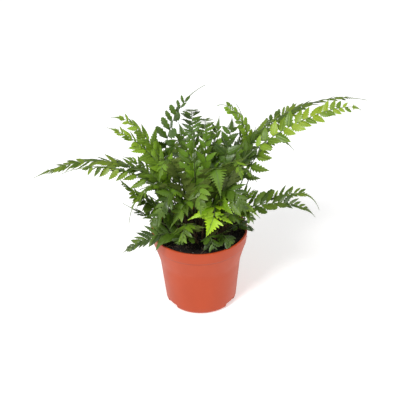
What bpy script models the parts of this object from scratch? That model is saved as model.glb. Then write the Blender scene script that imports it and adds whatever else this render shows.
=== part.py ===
"""Small evergreen fern in a round plastic nursery pot, 12 cm across the rim.

Metres, +Z up, the origin on the ground under the middle of the pot, -Y the plant's best side.
Three kinds of piece: the pot, the potting soil that fills it, and the fronds that stand in the
soil. A frond is one solid: its stalk and rib are a four-sided rod, and each leaflet grows out of
the rod's side edge as a thin lens, sharp at its margin and thickest along its midrib.
"""

import bisect
import functools
import math
from typing import NamedTuple

import bmesh
import bpy
from mathutils import Matrix, Quaternion, Vector
from mathutils.bvhtree import BVHTree

for old in list(bpy.data.objects):
    bpy.data.objects.remove(old)

MM = 0.001

# ---------------------------------------------------------------- driving dimensions
RIM_RADIUS = 60 * MM
POT_HEIGHT = 102.5 * MM
COLLAR_HEIGHT = 16 * MM
COLLAR_FOOT_RADIUS = 58.6 * MM
COLLAR_STEP = 0.6 * MM
FLARE_HEIGHT = 24.5 * MM        # the wall widens over this much of it, up to the collar
FLARE_FOOT_RADIUS = 50.6 * MM
BASE_RADIUS = 45 * MM
BASE_ROUNDING = 6 * MM
POT_WALL = 1.4 * MM
RIM_LIP = 2.2 * MM
RIM_ROUNDING = 0.6 * MM
POT_SIDES = 36

DRAIN_ANGLES = (-33, 90, 213)   # degrees; one at the back, two towards the front
DRAIN_WIDTH = 20 * MM
DRAIN_HEIGHT = 7 * MM
DRAIN_INNER_RADIUS = 36.5 * MM

RUNNING_GAP = 0.3 * MM
SOIL_BELOW_RIM = 7 * MM
SOIL_SLOPE = (-0.035, -0.030)   # rise along +X and +Y
SOIL_LUMP = 0.7 * MM
SOIL_SIDES = 24

STALK_DEPTH = 9 * MM
STALK_RISE = 1.2 * MM   # from the soil up to where the stalk starts to curve
HOLE_OVERRUN = 2 * MM   # that a stalk's hole runs past the stalk at the bottom, and past the soil
FOOT = -1               # stands for the stalk's lower end where a share of the rib is asked for
STALK_STEPS = 4
STALK_RADIUS = 0.95 * MM
TIP_RADIUS = 0.42 * MM
BLADE_THICKNESS = 0.9 * MM
BLADE_END = 0.93        # share of the rib's length; a thin bare tip is beyond it
BASE_OF_LEAFLET = 1.8 * MM
STAGGER = 0.3           # of the leaflets' spacing, between the left and right rows

LEAFLET_CLEARANCE = 0.25 * MM
LIFTS_TRIED = (0, 9, -9, 18, -18, 28, -28, 40, -40, 54, -54)
STEEPEST_RISE = 0.6     # beside the rib; a steeper leaflet's foot would cut into it
STEEPEST_FALL = 0.35    # less than the rise, as leaflets droop by themselves
SIZES_TRIED = (1, 0.84, 0.68, 0.52)


# ---------------------------------------------------------------- materials
def plain_material(name, colour, roughness):
    """A Principled material with one colour and one roughness."""
    material = bpy.data.materials.new(name)
    material.use_nodes = True
    shader = material.node_tree.nodes["Principled BSDF"]
    shader.inputs["Base Color"].default_value = (*colour, 1)
    shader.inputs["Roughness"].default_value = roughness
    return material


TERRACOTTA_PLASTIC = plain_material("terracotta plastic", (0.60, 0.115, 0.045), 0.42)
POTTING_SOIL = plain_material("potting soil", (0.012, 0.009, 0.008), 0.95)
LEAF_TONES = {
    "deep": plain_material("deep green frond", (0.035, 0.115, 0.020), 0.38),
    "mid": plain_material("green frond", (0.075, 0.215, 0.028), 0.38),
    "light": plain_material("light green frond", (0.130, 0.300, 0.040), 0.40),
    "young": plain_material("young frond", (0.390, 0.640, 0.030), 0.40),
}


def finish_object(name, mesh, material):
    """Put a finished mesh into the scene under its own name."""
    mesh.materials.append(material)
    piece = bpy.data.objects.new(name, mesh)
    bpy.context.scene.collection.objects.link(piece)
    return piece


# ---------------------------------------------------------------- turned pieces
def rounded_corner(radius, height, rounding, steps=3):
    """Points of an outer bottom corner, from the flat base up to the wall."""
    centre = Vector((radius - rounding, height + rounding))
    angles = [math.radians(-90 + 90 * step / steps) for step in range(steps + 1)]
    return [centre + rounding * Vector((math.cos(a), math.sin(a))) for a in angles]


def turned_solid(profile, sides):
    """Spin a radius-height outline, which starts and ends on the axis, round +Z."""
    shape = bmesh.new()
    points = [shape.verts.new((radius, 0, height)) for radius, height in profile]
    edges = [shape.edges.new(pair) for pair in zip(points, points[1:])]
    bmesh.ops.spin(shape, geom=points + edges, cent=(0, 0, 0), axis=(0, 0, 1),
                   angle=2 * math.pi, steps=sides, use_merge=True)
    bmesh.ops.remove_doubles(shape, verts=shape.verts, dist=1e-6)
    bmesh.ops.recalc_face_normals(shape, faces=shape.faces)
    return shape


def to_mesh(shape, name):
    mesh = bpy.data.meshes.new(name)
    shape.to_mesh(mesh)
    shape.free()
    return mesh


def cut(piece, cutter):
    """Subtract the cutter from the piece for good, and remove the cutter."""
    boolean = piece.modifiers.new("cut", "BOOLEAN")
    boolean.operation = "DIFFERENCE"
    boolean.object = cutter
    bpy.context.view_layer.update()
    graph = bpy.context.evaluated_depsgraph_get()
    result = bpy.data.meshes.new_from_object(piece.evaluated_get(graph))
    piece.modifiers.clear()
    piece.data = result
    bpy.data.objects.remove(cutter)


# ---------------------------------------------------------------- pot
def pot_profile():
    """Radius and height, up the outside from the axis and down the inside to it."""
    seam = POT_HEIGHT - COLLAR_HEIGHT
    outside = [(0, 0)] + [tuple(point) for point in rounded_corner(BASE_RADIUS, 0, BASE_ROUNDING)]
    outside += [
        (FLARE_FOOT_RADIUS, seam - FLARE_HEIGHT),
        (COLLAR_FOOT_RADIUS - COLLAR_STEP, seam),
        (COLLAR_FOOT_RADIUS, seam + COLLAR_STEP),
        (RIM_RADIUS, POT_HEIGHT - RIM_LIP),
        (RIM_RADIUS, POT_HEIGHT - RIM_ROUNDING),
        (RIM_RADIUS - RIM_ROUNDING, POT_HEIGHT),
    ]
    inside = [
        (RIM_RADIUS - RIM_LIP, POT_HEIGHT),
        (RIM_RADIUS - RIM_LIP, POT_HEIGHT - RIM_LIP),
        (COLLAR_FOOT_RADIUS - COLLAR_STEP - POT_WALL, seam),
        (FLARE_FOOT_RADIUS - POT_WALL, seam - FLARE_HEIGHT),
        (BASE_RADIUS - POT_WALL, BASE_ROUNDING),
        (BASE_RADIUS - BASE_ROUNDING, POT_WALL),
        (0, POT_WALL),
    ]
    return outside + inside


def drain_cutter():
    """Blocks that open the bottom corner where water drains."""
    shape = bmesh.new()
    depth = BASE_RADIUS - DRAIN_INNER_RADIUS + BASE_ROUNDING
    size = Matrix.Diagonal((depth, DRAIN_WIDTH, 2 * DRAIN_HEIGHT, 1))
    for angle in DRAIN_ANGLES:
        turn = Matrix.Rotation(math.radians(angle), 4, "Z")
        out = Matrix.Translation((DRAIN_INNER_RADIUS + depth / 2, 0, 0))
        bmesh.ops.create_cube(shape, size=1, matrix=turn @ out @ size)
    return finish_object("drain cutter", to_mesh(shape, "drain cutter"), TERRACOTTA_PLASTIC)


def make_pot():
    mesh = to_mesh(turned_solid(pot_profile(), POT_SIDES), "pot")
    pot = finish_object("pot", mesh, TERRACOTTA_PLASTIC)
    cut(pot, drain_cutter())
    pot.data.shade_smooth()
    pot.data.set_sharp_from_angle(angle=math.radians(35))
    return pot


# ---------------------------------------------------------------- soil
def soil_level(x, y):
    """Height of the soil: highest at the front left, lowest at the right, and lumpy."""
    slope_x, slope_y = SOIL_SLOPE
    lumps = math.sin(x * 310 + 1.3) * math.cos(y * 270 - 0.6) + 0.5 * math.sin(x * 520 - y * 610)
    return POT_HEIGHT - SOIL_BELOW_RIM + slope_x * x + slope_y * y + SOIL_LUMP * lumps


def soil_profile():
    """The pot's inside, a running gap smaller all round, closed flat at the soil's level."""
    top = POT_HEIGHT - SOIL_BELOW_RIM
    seam = POT_HEIGHT - COLLAR_HEIGHT
    lip_foot = POT_HEIGHT - RIM_LIP
    inner_rim = RIM_RADIUS - RIM_LIP
    inner_seam = COLLAR_FOOT_RADIUS - COLLAR_STEP - POT_WALL
    share = (top - seam) / (lip_foot - seam)
    top_radius = inner_seam + share * (inner_rim - inner_seam)
    gap = 2 * RUNNING_GAP
    return [
        (0, POT_WALL + RUNNING_GAP),
        (BASE_RADIUS - BASE_ROUNDING - gap, POT_WALL + RUNNING_GAP),
        (BASE_RADIUS - POT_WALL - gap, BASE_ROUNDING + gap),
        (FLARE_FOOT_RADIUS - POT_WALL - gap, seam - FLARE_HEIGHT),
        (inner_seam - gap, seam),
        (top_radius - 4 * gap, top),
        (0.72 * top_radius, top),
        (0.40 * top_radius, top),
        (0, top),
    ]


def stalk_hole_cutter(fronds):
    """A four-sided peg for each stalk, set like the stalk and a running gap wider."""
    shape = bmesh.new()
    radius = STALK_RADIUS + 1.5 * RUNNING_GAP
    depth = STALK_DEPTH + 2 * HOLE_OVERRUN
    for frond in fronds:
        start = rib_frame(frond, 0)
        turn = Matrix((start.up, start.side, start.along)).transposed().to_4x4()
        centre = Matrix.Translation(start.place - STALK_DEPTH / 2 * start.along)
        bmesh.ops.create_cone(shape, cap_ends=True, segments=4, depth=depth,
                              radius1=radius, radius2=radius, matrix=centre @ turn)
    return finish_object("stalk hole cutter", to_mesh(shape, "stalk hole cutter"), POTTING_SOIL)


def make_soil(fronds):
    shape = turned_solid(soil_profile(), SOIL_SIDES)
    top = POT_HEIGHT - SOIL_BELOW_RIM
    for vert in shape.verts:
        if abs(vert.co.z - top) < 1e-6:
            vert.co.z = soil_level(vert.co.x, vert.co.y)
    soil = finish_object("soil", to_mesh(shape, "soil"), POTTING_SOIL)
    cut(soil, stalk_hole_cutter(fronds))
    return soil


# ---------------------------------------------------------------- fronds: the planting plan
class Frond(NamedTuple):
    """A frond's rib and blade. Places are in millimetres, angles in degrees."""
    name: str
    root: tuple         # x and y where the stalk leaves the soil
    climb: tuple        # x, y and z that the stalk first heads for
    over: tuple         # x, y and z that the rib bends under before its tip
    tip: tuple          # x, y and z where the rib ends
    bare: float         # share of the rib below the first leaflet
    reach: float        # length of the longest leaflet
    pairs: int          # pairs of leaflets
    roll: float         # turn of the blade about its rib, right side down if positive
    lift: float         # how far both rows of leaflets rise from the blade's plane
    shape: str          # which habit it has
    tone: str           # which green


PLAN = (
    # the two long arms to the right, and the drooping fronds below them
    Frond("right_arm_back", (16, 9), (4, 16, 183), (111, 50, 277), (208, 46, 252),
          bare=.36, reach=20, pairs=11, roll=-14, lift=0, shape="band", tone="mid"),
    Frond("right_arm_front", (19, 4), (-7, 2, 199), (175, 16, 282), (197, 16, 254),
          bare=.48, reach=18, pairs=12, roll=38, lift=5, shape="open", tone="light"),
    Frond("right_middle", (25, 9), (54, 19, 155), (85, 13, 257), (117, 9, 205),
          bare=.40, reach=22, pairs=6, roll=30, lift=-20, shape="tail", tone="mid"),
    Frond("right_low_back", (21, -8), (49, -10, 125), (128, -16, 196), (147, -20, 137),
          bare=.52, reach=14, pairs=8, roll=15, lift=20, shape="thread", tone="mid"),
    Frond("right_low_front", (18, -17), (14, -22, 141), (110, -40, 184), (140, -40, 140),
          bare=.36, reach=25, pairs=9, roll=20, lift=20, shape="fan", tone="deep"),
    # the long arm to the left, and the thin fronds below it
    Frond("left_arm_front", (-20, -2), (-26, -4, 165), (-94, -14, 225), (-163, -22, 199),
          bare=.38, reach=19, pairs=9, roll=-17, lift=-37, shape="trail", tone="mid"),
    Frond("left_arm_back", (-20, 8), (-17, 10, 168), (-104, 12, 231), (-202, 6, 177),
          bare=.38, reach=21, pairs=11, roll=0, lift=0, shape="band", tone="mid"),
    Frond("left_middle", (-24, -6), (-27, -14, 147), (-71, -22, 146), (-95, -25, 193),
          bare=.40, reach=17, pairs=9, roll=-20, lift=0, shape="lance", tone="mid"),
    Frond("left_low", (-22, -14), (-27, -17, 115), (-60, -17, 128), (-93, -18, 153),
          bare=.40, reach=14, pairs=8, roll=0, lift=0, shape="thread", tone="mid"),
    Frond("left_lowest", (-18, -20), (-40, -27, 154), (-74, -32, 212), (-86, -30, 130),
          bare=.60, reach=16, pairs=8, roll=0, lift=0, shape="thread", tone="mid"),
    # the fronds that reach up and to the left
    Frond("top_left", (-12, 16), (-64, 24, 163), (-39, 48, 252), (11, 62, 270),
          bare=.46, reach=19, pairs=9, roll=18, lift=40, shape="whip", tone="deep"),
    Frond("upper_left_back", (-16, 11), (-32, 12, 166), (-59, 14, 258), (-103, 20, 251),
          bare=.38, reach=27, pairs=9, roll=-22, lift=5, shape="lance", tone="light"),
    Frond("upper_left_front", (-14.5, 1.5), (-24, 6, 168), (-59, 6, 228), (-107, 2, 247),
          bare=.38, reach=28, pairs=9, roll=-22, lift=5, shape="lance", tone="light"),
    Frond("upper_left_low", (-18, -8), (-28, -14, 144), (-48, -14, 201), (-89, -16, 217),
          bare=.36, reach=26, pairs=8, roll=-22, lift=5, shape="lance", tone="mid"),
    # the crown's top
    Frond("top_middle", (-4, 20), (-4, 22, 236), (-6, 40, 250), (-8, 128, 202),
          bare=.52, reach=16, pairs=9, roll=0, lift=5, shape="comb", tone="deep"),
    Frond("top_middle_right", (2, 21), (13, 26, 224), (9, 44, 238), (11, 122, 190),
          bare=.52, reach=16, pairs=9, roll=0, lift=5, shape="comb", tone="mid"),
    Frond("top_right_curl", (12, 13.5), (112, 24, 156), (49, 46, 268), (25, 50, 247),
          bare=.64, reach=10, pairs=9, roll=-12, lift=0, shape="curl", tone="light"),
    Frond("top_right", (14, 18), (39, 34, 159), (72, 52, 211), (49, 64, 242),
          bare=.50, reach=12, pairs=8, roll=0, lift=5, shape="thread", tone="mid"),
    # the front, low over the soil and the rim
    Frond("front_left_wide", (-8, -24), (-15, -28, 114), (-48, -36, 133), (-94, -46, 99),
          bare=.20, reach=25, pairs=9, roll=-30, lift=10, shape="lance", tone="deep"),
    Frond("front_young", (3, -20), (2, -26, 161), (36, -36, 179), (7, -58, 126),
          bare=.50, reach=32, pairs=5, roll=0, lift=0, shape="young", tone="young"),
    Frond("front_right_young", (13, -12), (-7, -20, 153), (42, -40, 185), (73, -48, 145),
          bare=.44, reach=21, pairs=6, roll=44, lift=0, shape="tail", tone="light"),
    Frond("front_hanging_right", (4, -8), (7, -12, 181), (21, -26, 246), (26, -54, 178),
          bare=.58, reach=23, pairs=6, roll=0, lift=0, shape="tail", tone="mid"),
    Frond("front_hanging_left", (-4, -14), (-4, -20, 158), (-5, -34, 192), (-36, -50, 134),
          bare=.60, reach=17, pairs=5, roll=0, lift=0, shape="tail", tone="mid"),
    Frond("front_hanging_far_left", (-9, -17), (-18, -24, 154), (-19, -34, 206), (-43, -42, 163),
          bare=.55, reach=20, pairs=5, roll=0, lift=0, shape="tail", tone="mid"),
    Frond("front_soil_middle", (7, -28), (10, -31, 114), (14, -37, 120), (16, -50, 103),
          bare=.30, reach=16, pairs=4, roll=0, lift=0, shape="paddle", tone="deep"),
    Frond("front_soil_right", (18, -25), (21, -28, 114), (28, -34, 122), (38, -44, 104),
          bare=.30, reach=19, pairs=4, roll=0, lift=0, shape="paddle", tone="deep"),
    Frond("front_soil_left", (-3, -28), (-9, -33, 114), (-17, -42, 128), (-28, -54, 114),
          bare=.30, reach=17, pairs=4, roll=0, lift=0, shape="paddle", tone="deep"),
    Frond("right_rim", (26, -8), (35, -16, 114), (52, -15, 126), (68, -14, 106),
          bare=.34, reach=17, pairs=4, roll=0, lift=0, shape="paddle", tone="deep"),
    Frond("left_rim", (-27, 3), (-31, 8, 134), (-46, 0, 148), (-67, -8, 126),
          bare=.30, reach=21, pairs=5, roll=-10, lift=0, shape="paddle", tone="deep"),
    Frond("right_rim_back", (27, 2), (46, 4, 114), (49, 6, 151), (73, 2, 152),
          bare=.30, reach=21, pairs=5, roll=10, lift=0, shape="cut", tone="light"),
    # the crown's heart: tiers that hang to the front, and tiers that lean back behind them
    Frond("heart_low_left", (-13, -12), (-24, -20, 128), (-42, -36, 172), (-60, -50, 134),
          bare=.24, reach=23, pairs=6, roll=-16, lift=-5, shape="cut", tone="deep"),
    Frond("heart_low_middle", (-4, -21), (-9, -30, 124), (-16, -46, 160), (-22, -66, 122),
          bare=.26, reach=22, pairs=5, roll=18, lift=-5, shape="cut", tone="mid"),
    Frond("heart_low_right", (12, -19), (17, -26, 127), (30, -40, 167), (48, -58, 144),
          bare=.26, reach=22, pairs=5, roll=-14, lift=-5, shape="cut", tone="deep"),
    Frond("heart_low_far_right", (23, -13), (32, -18, 128), (52, -28, 170), (66, -40, 132),
          bare=.26, reach=20, pairs=5, roll=14, lift=-5, shape="cut", tone="mid"),
    Frond("heart_left", (-12, -6), (-24, -12, 150), (-56, -30, 224), (-74, -42, 160),
          bare=.26, reach=24, pairs=6, roll=22, lift=0, shape="cut", tone="mid"),
    Frond("heart_front_left", (-7, -9), (-11, -14, 153), (-34, -44, 216), (-48, -61, 152),
          bare=.28, reach=24, pairs=6, roll=-24, lift=0, shape="cut", tone="deep"),
    Frond("heart_front", (1, -4), (1, -10, 162), (0, -42, 230), (2, -66, 160),
          bare=.30, reach=24, pairs=6, roll=28, lift=0, shape="cut", tone="mid"),
    Frond("heart_front_right", (10, -5), (16, -10, 155), (40, -38, 216), (56, -56, 154),
          bare=.28, reach=24, pairs=6, roll=22, lift=0, shape="cut", tone="deep"),
    Frond("heart_right", (18, -2), (28, -6, 157), (42, -18, 234), (70, -30, 185),
          bare=.28, reach=25, pairs=6, roll=-22, lift=0, shape="cut", tone="mid"),
    Frond("heart_high_left", (-9, 0), (-18, 0, 176), (-38, -18, 254), (-46, -42, 196),
          bare=.32, reach=23, pairs=6, roll=26, lift=0, shape="cut", tone="mid"),
    Frond("heart_high_right", (14, 1), (24, -3, 172), (46, -18, 248), (52, -42, 192),
          bare=.32, reach=23, pairs=6, roll=-24, lift=0, shape="cut", tone="light"),
    Frond("heart_inner_left", (-7, 6), (-15, 12, 134), (-30, 22, 176), (-44, 30, 204),
          bare=.13, reach=24, pairs=6, roll=30, lift=5, shape="cut", tone="deep"),
    Frond("heart_inner_middle", (2, 5), (5, 11, 134), (10, 26, 196), (12, 38, 229),
          bare=.13, reach=26, pairs=6, roll=-36, lift=5, shape="cut", tone="mid"),
    Frond("heart_inner_right", (9, 6), (20, 7, 135), (57, 12, 182), (71, 18, 234),
          bare=.13, reach=26, pairs=6, roll=28, lift=5, shape="cut", tone="deep"),
    Frond("heart_back_left", (-9, 13), (0, 19, 147), (-14, 39, 210), (-23, 52, 225),
          bare=.18, reach=26, pairs=6, roll=-32, lift=5, shape="cut", tone="mid"),
    Frond("heart_back_middle", (0, 14), (3, 26, 145), (6, 45, 190), (-13, 62, 224),
          bare=.18, reach=26, pairs=6, roll=32, lift=5, shape="cut", tone="light"),
    Frond("heart_back_right", (7, 18.5), (5, 28, 144), (25, 46, 205), (28, 63, 227),
          bare=.18, reach=27, pairs=6, roll=-30, lift=5, shape="cut", tone="mid"),
    Frond("heart_back_far_right", (19.5, 12.5), (16, 8, 146), (45, 40, 211), (43, 44, 236),
          bare=.18, reach=27, pairs=6, roll=25, lift=5, shape="cut", tone="deep"),
    # the back, spreading low
    Frond("back_far_right", (24, 17), (12, 30, 183), (86, 56, 214), (133, 60, 242),
          bare=.73, reach=14, pairs=7, roll=30, lift=22, shape="paddle", tone="mid"),
    Frond("back_right", (16, 25), (30, 48, 145), (60, 88, 202), (92, 122, 166),
          bare=.34, reach=26, pairs=6, roll=0, lift=-10, shape="cut", tone="deep"),
    Frond("back_middle_right", (8, 27), (14, 50, 140), (28, 98, 190), (42, 144, 146),
          bare=.34, reach=26, pairs=6, roll=0, lift=-10, shape="cut", tone="mid"),
    Frond("back_middle_left", (-9, 27), (-13, 50, 140), (-24, 96, 192), (-36, 142, 148),
          bare=.34, reach=26, pairs=6, roll=0, lift=-10, shape="cut", tone="deep"),
    Frond("back_left", (-14, 22), (-28, 42, 140), (-54, 78, 192), (-78, 108, 156),
          bare=.34, reach=26, pairs=6, roll=0, lift=-10, shape="cut", tone="mid"),
    Frond("back_far_left", (-22, 16), (-38, 28, 138), (-66, 44, 180), (-96, 58, 150),
          bare=.34, reach=21, pairs=6, roll=0, lift=-10, shape="lance", tone="deep"),
    Frond("back_low", (1, 29), (2, 42, 124), (4, 72, 150), (6, 106, 112),
          bare=.32, reach=24, pairs=5, roll=0, lift=-10, shape="cut", tone="mid"),
)


# ---------------------------------------------------------------- fronds: the rib
class Station(NamedTuple):
    """A place on a rib and the directions there."""
    place: Vector
    along: Vector
    side: Vector
    up: Vector


def rib_corners(frond):
    """The four control points of the rib's curve, in metres."""
    x, y = (MM * value for value in frond.root)
    root = Vector((x, y, soil_level(x, y) + STALK_RISE))
    return (root, *(MM * Vector(point) for point in (frond.climb, frond.over, frond.tip)))


def curve_place(corners, turn):
    """A point of the cubic curve that the four control points make."""
    a, b, c, d = corners
    rest = 1 - turn
    return rest**3 * a + 3 * rest**2 * turn * b + 3 * rest * turn**2 * c + turn**3 * d


@functools.cache
def even_turns(frond, steps=80):
    """Curve parameters that lie evenly along the rib, with the rib's length."""
    corners = rib_corners(frond)
    places = [curve_place(corners, step / steps) for step in range(steps + 1)]
    lengths = [0.0]
    for start, end in zip(places, places[1:]):
        lengths.append(lengths[-1] + (end - start).length)
    return lengths


def rib_length(frond):
    """The rib's length from the soil to its tip."""
    return even_turns(frond)[-1]


def rib_frame(frond, share):
    """The rib's place and directions at a share of its length, or at its foot in the soil."""
    if share == FOOT:
        start = rib_frame(frond, 0)
        return start._replace(place=start.place - STALK_DEPTH * start.along)
    lengths = even_turns(frond)
    goal = share * lengths[-1]
    step = min(bisect.bisect_right(lengths, goal), len(lengths) - 1)
    part = (goal - lengths[step - 1]) / (lengths[step] - lengths[step - 1])
    turn = (step - 1 + part) / (len(lengths) - 1)
    a, b, c, d = rib_corners(frond)
    place = curve_place((a, b, c, d), turn)
    rest = 1 - turn
    along = (rest**2 * (b - a) + 2 * rest * turn * (c - b) + turn**2 * (d - c)).normalized()
    side = along.cross(Vector((0, 0, 1))).normalized()
    side.rotate(Quaternion(along, math.radians(frond.roll) * min(1, share / frond.bare)))
    return Station(place, along, side, side.cross(along))


def rod_radius(share):
    """The stalk and rib thin out evenly towards the frond's tip."""
    return STALK_RADIUS + max(0, share) * (TIP_RADIUS - STALK_RADIUS)


# ---------------------------------------------------------------- fronds: the leaflets
# Margins from the base to the tip: the share of the leaflet's length, and of its half width.
# The lower margin faces the frond's root, the upper one its tip.
LEAFLET_SHAPES = {
    "lance": {
        "lower": ((0.34, 0.95),),
        "upper": ((0.27, 1.05), (0.47, 0.64), (0.60, 0.82)),
        "midrib": (0.42,),
        "slimness": 0.44,
        "droop": 0.16,
    },
    "paddle": {
        "lower": ((0.42, 0.80), (0.74, 0.78)),
        "upper": ((0.36, 1.05), (0.54, 0.72), (0.76, 0.95)),
        "midrib": (0.50,),
        "slimness": 0.58,
        "droop": 0.14,
    },
    "cut": {
        "lower": ((0.36, 0.98),),
        "upper": ((0.28, 1.02), (0.48, 0.60), (0.62, 0.78)),
        "midrib": (0.42,),
        "slimness": 0.52,
        "droop": 0.20,
    },
    "broad": {
        "lower": ((0.36, 0.98),),
        "upper": ((0.30, 1.02), (0.52, 0.70), (0.66, 0.86)),
        "midrib": (0.44,),
        "slimness": 0.60,
        "droop": 0.20,
    },
    "tip": {
        "lower": ((0.50, 0.80),),
        "upper": ((0.42, 1.00),),
        "midrib": (0.46,),
        "slimness": 0.42,
        "droop": 0.14,
    },
}
SIMPLE_FROM = 0.44      # share of the blade beyond which leaflets are small and uncut


class Habit(NamedTuple):
    """How a kind of frond bears its leaflets."""
    outline: str
    lean: tuple         # degrees between rib and leaflet, at the blade's foot and at its tip
    fullness: float     # how far along the blade the leaflets stay long
    end: float          # share of the blade beyond which it bears none


HABITS = {
    "lance": Habit("lance", (58, 38), 1.5, 1.0),
    "band": Habit("lance", (50, 36), 2.4, 1.0),
    "open": Habit("lance", (56, 46), 3.4, 1.0),
    "trail": Habit("lance", (52, 34), 3.0, 0.78),
    "whip": Habit("paddle", (50, 30), 2.2, 0.78),
    "comb": Habit("lance", (62, 44), 1.6, 1.0),
    "curl": Habit("paddle", (66, 50), 6.0, 1.0),
    "thread": Habit("lance", (50, 36), 1.3, 0.66),
    "fan": Habit("paddle", (50, 34), 1.2, 1.0),
    "paddle": Habit("paddle", (62, 36), 2.3, 1.0),
    "cut": Habit("cut", (64, 40), 2.4, 1.0),
    "tail": Habit("cut", (70, 40), 1.3, 1.0),
    "young": Habit("broad", (74, 34), 1.8, 1.0),
}


class Leaflet(NamedTuple):
    """A leaflet's place on its rib, its directions, its size and its outline."""
    base: Vector
    along: Vector
    across: Vector
    up: Vector
    length: float
    width: float
    shape: dict


def leaflet_length_share(place, habit):
    """Leaflets are soon at full length along the blade, then shorten to its drawn-out tip."""
    return min(1, 0.72 + 1.4 * place) * (1 - (place / habit.end) ** habit.fullness) + 0.10


def blade_place(frond, share):
    """How far along the blade a share of the rib is."""
    return (share - frond.bare) / (1 - frond.bare)


def pair_shares(frond):
    """Shares of the rib at which the pairs stand, closer together towards the tip."""
    blade = BLADE_END - frond.bare
    steps = [(pair + 0.3) / frond.pairs for pair in range(frond.pairs)]
    return [frond.bare + blade * step * (1.3 - 0.3 * step) for step in steps]


def leaflet(frond, share, sign, spacing, lift, size):
    """The leaflet at a share of the rib, on its right (sign 1) or left side (sign -1)."""
    station = rib_frame(frond, share)
    place = blade_place(frond, share)
    habit = HABITS[frond.shape]
    shape = LEAFLET_SHAPES[habit.outline if place < SIMPLE_FROM else "tip"]
    foot_lean, tip_lean = habit.lean
    lean = math.radians(foot_lean + (tip_lean - foot_lean) * place)
    out = sign * station.side
    flat = math.cos(lean) * station.along + math.sin(lean) * out
    across = math.sin(lean) * station.along - math.cos(lean) * out
    highest = math.atan(STEEPEST_RISE * math.sin(lean))
    lowest = -math.atan(STEEPEST_FALL * math.sin(lean))
    angle = max(lowest, min(highest, math.radians(frond.lift + lift)))
    along = math.cos(angle) * flat + math.sin(angle) * station.up
    up = math.cos(angle) * station.up - math.sin(angle) * flat
    length = size * MM * frond.reach * leaflet_length_share(place, habit)
    width = min(length * shape["slimness"], 0.9 * spacing * math.sin(lean))
    base = station.place + rod_radius(share) * out
    return Leaflet(base, along, across, up, length, width, shape)


def leaflet_point(leaf, out, half_width):
    """A point of the leaflet's middle sheet, which droops towards its tip."""
    droop = leaf.shape["droop"] * leaf.length * out**2
    sideways = half_width * leaf.width / 2
    return leaf.base + out * leaf.length * leaf.along + sideways * leaf.across - droop * leaf.up


# ---------------------------------------------------------------- fronds: one closed mesh
class Sheet:
    """A thin solid in the making: its points, and triangles that have a twin on its far side.

    A point is kept as (position in its row, index on the top, index on the bottom). Points on
    the margin have the same index twice, so the two sides close there.
    """

    def __init__(self):
        self.points = []
        self.faces = []

    def margin(self, position, place):
        self.points.append(place)
        return (position, len(self.points) - 1, len(self.points) - 1)

    def ridge(self, position, place, up, half_thickness):
        self.points += [place + half_thickness * up, place - half_thickness * up]
        return (position, len(self.points) - 2, len(self.points) - 1)

    def triangle(self, a, b, c):
        self.faces.append((a[1], b[1], c[1]))
        self.faces.append((a[2], c[2], b[2]))

    def strip(self, ridge, edge, leaves=None):
        """Fill between a ridge and an edge that meet at their last point.

        A triangle on a stretch of edge that a leaflet grows from gives way to the leaflet.
        """
        i = 0
        j = 0
        while i < len(ridge) - 2 or j < len(edge) - 2:
            edge_done = j == len(edge) - 2
            ridge_next = i < len(ridge) - 2 and ridge[i + 1][0] <= edge[j + 1][0]
            if edge_done or ridge_next:
                self.triangle(ridge[i], edge[j], ridge[i + 1])
                i += 1
            elif leaves and j in leaves:
                self.leaf(leaves[j], ridge[i], edge[j], edge[j + 1])
                j += 1
            else:
                self.triangle(ridge[i], edge[j], edge[j + 1])
                j += 1
        self.triangle(ridge[-2], edge[-2], ridge[-1])

    def leaf(self, leaf, heart, lower_foot, upper_foot, extra=0.0):
        """A leaflet between the two feet of its base; heart is the rib's ridge beside it."""
        longer = extra / leaf.length
        wider = 1 + 2 * extra / leaf.width
        half = BLADE_THICKNESS / 2 + extra
        tip = self.margin(1, leaflet_point(leaf, 1 + longer, 0))
        heart = (0, *heart[1:])
        midrib = [self.ridge(out, leaflet_point(leaf, out, 0), leaf.up, half)
                  for out in leaf.shape["midrib"]]
        for foot, margin, turn in ((lower_foot, "lower", -1), (upper_foot, "upper", 1)):
            edge = [self.margin(out, leaflet_point(leaf, out, turn * wide * wider))
                    for out, wide in leaf.shape[margin]]
            self.strip([heart, *midrib, tip], [(0, *foot[1:]), *edge, tip])

    def tree(self):
        return BVHTree.FromPolygons(self.points, self.faces)

    def mesh(self, name):
        mesh = bpy.data.meshes.new(name)
        mesh.from_pydata(self.points, [], self.faces)
        shape = bmesh.new()
        shape.from_mesh(mesh)
        bmesh.ops.recalc_face_normals(shape, faces=shape.faces)
        shape.to_mesh(mesh)
        shape.free()
        return mesh


def rib_ridge(sheet, frond, share, extra):
    """The rib's top and bottom at a share of it."""
    station = rib_frame(frond, share)
    return sheet.ridge(share, station.place, station.up, rod_radius(share) + extra)


def rib_edge(sheet, frond, share, sign, extra):
    """The rib's right (sign 1) or left edge (sign -1) at a share of it."""
    station = rib_frame(frond, share)
    return sheet.margin(share, station.place + sign * (rod_radius(share) + extra) * station.side)


def feet_shares(frond, shares, pair, sign):
    """Where the two corners of a leaflet's base stand on the rib."""
    centre = side_share(frond, shares, pair, sign)
    half_base = BASE_OF_LEAFLET / 2 / rib_length(frond)
    return centre - half_base, centre + half_base


def lone_leaflet(frond, shares, pair, sign, leaf, extra):
    """One leaflet with its base, grown by extra all round, to test for touching."""
    sheet = Sheet()
    heart = rib_ridge(sheet, frond, shares[pair], extra)
    feet = [rib_edge(sheet, frond, share, sign, extra)
            for share in feet_shares(frond, shares, pair, sign)]
    sheet.leaf(leaf, heart, *feet, extra=extra)
    return sheet


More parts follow.
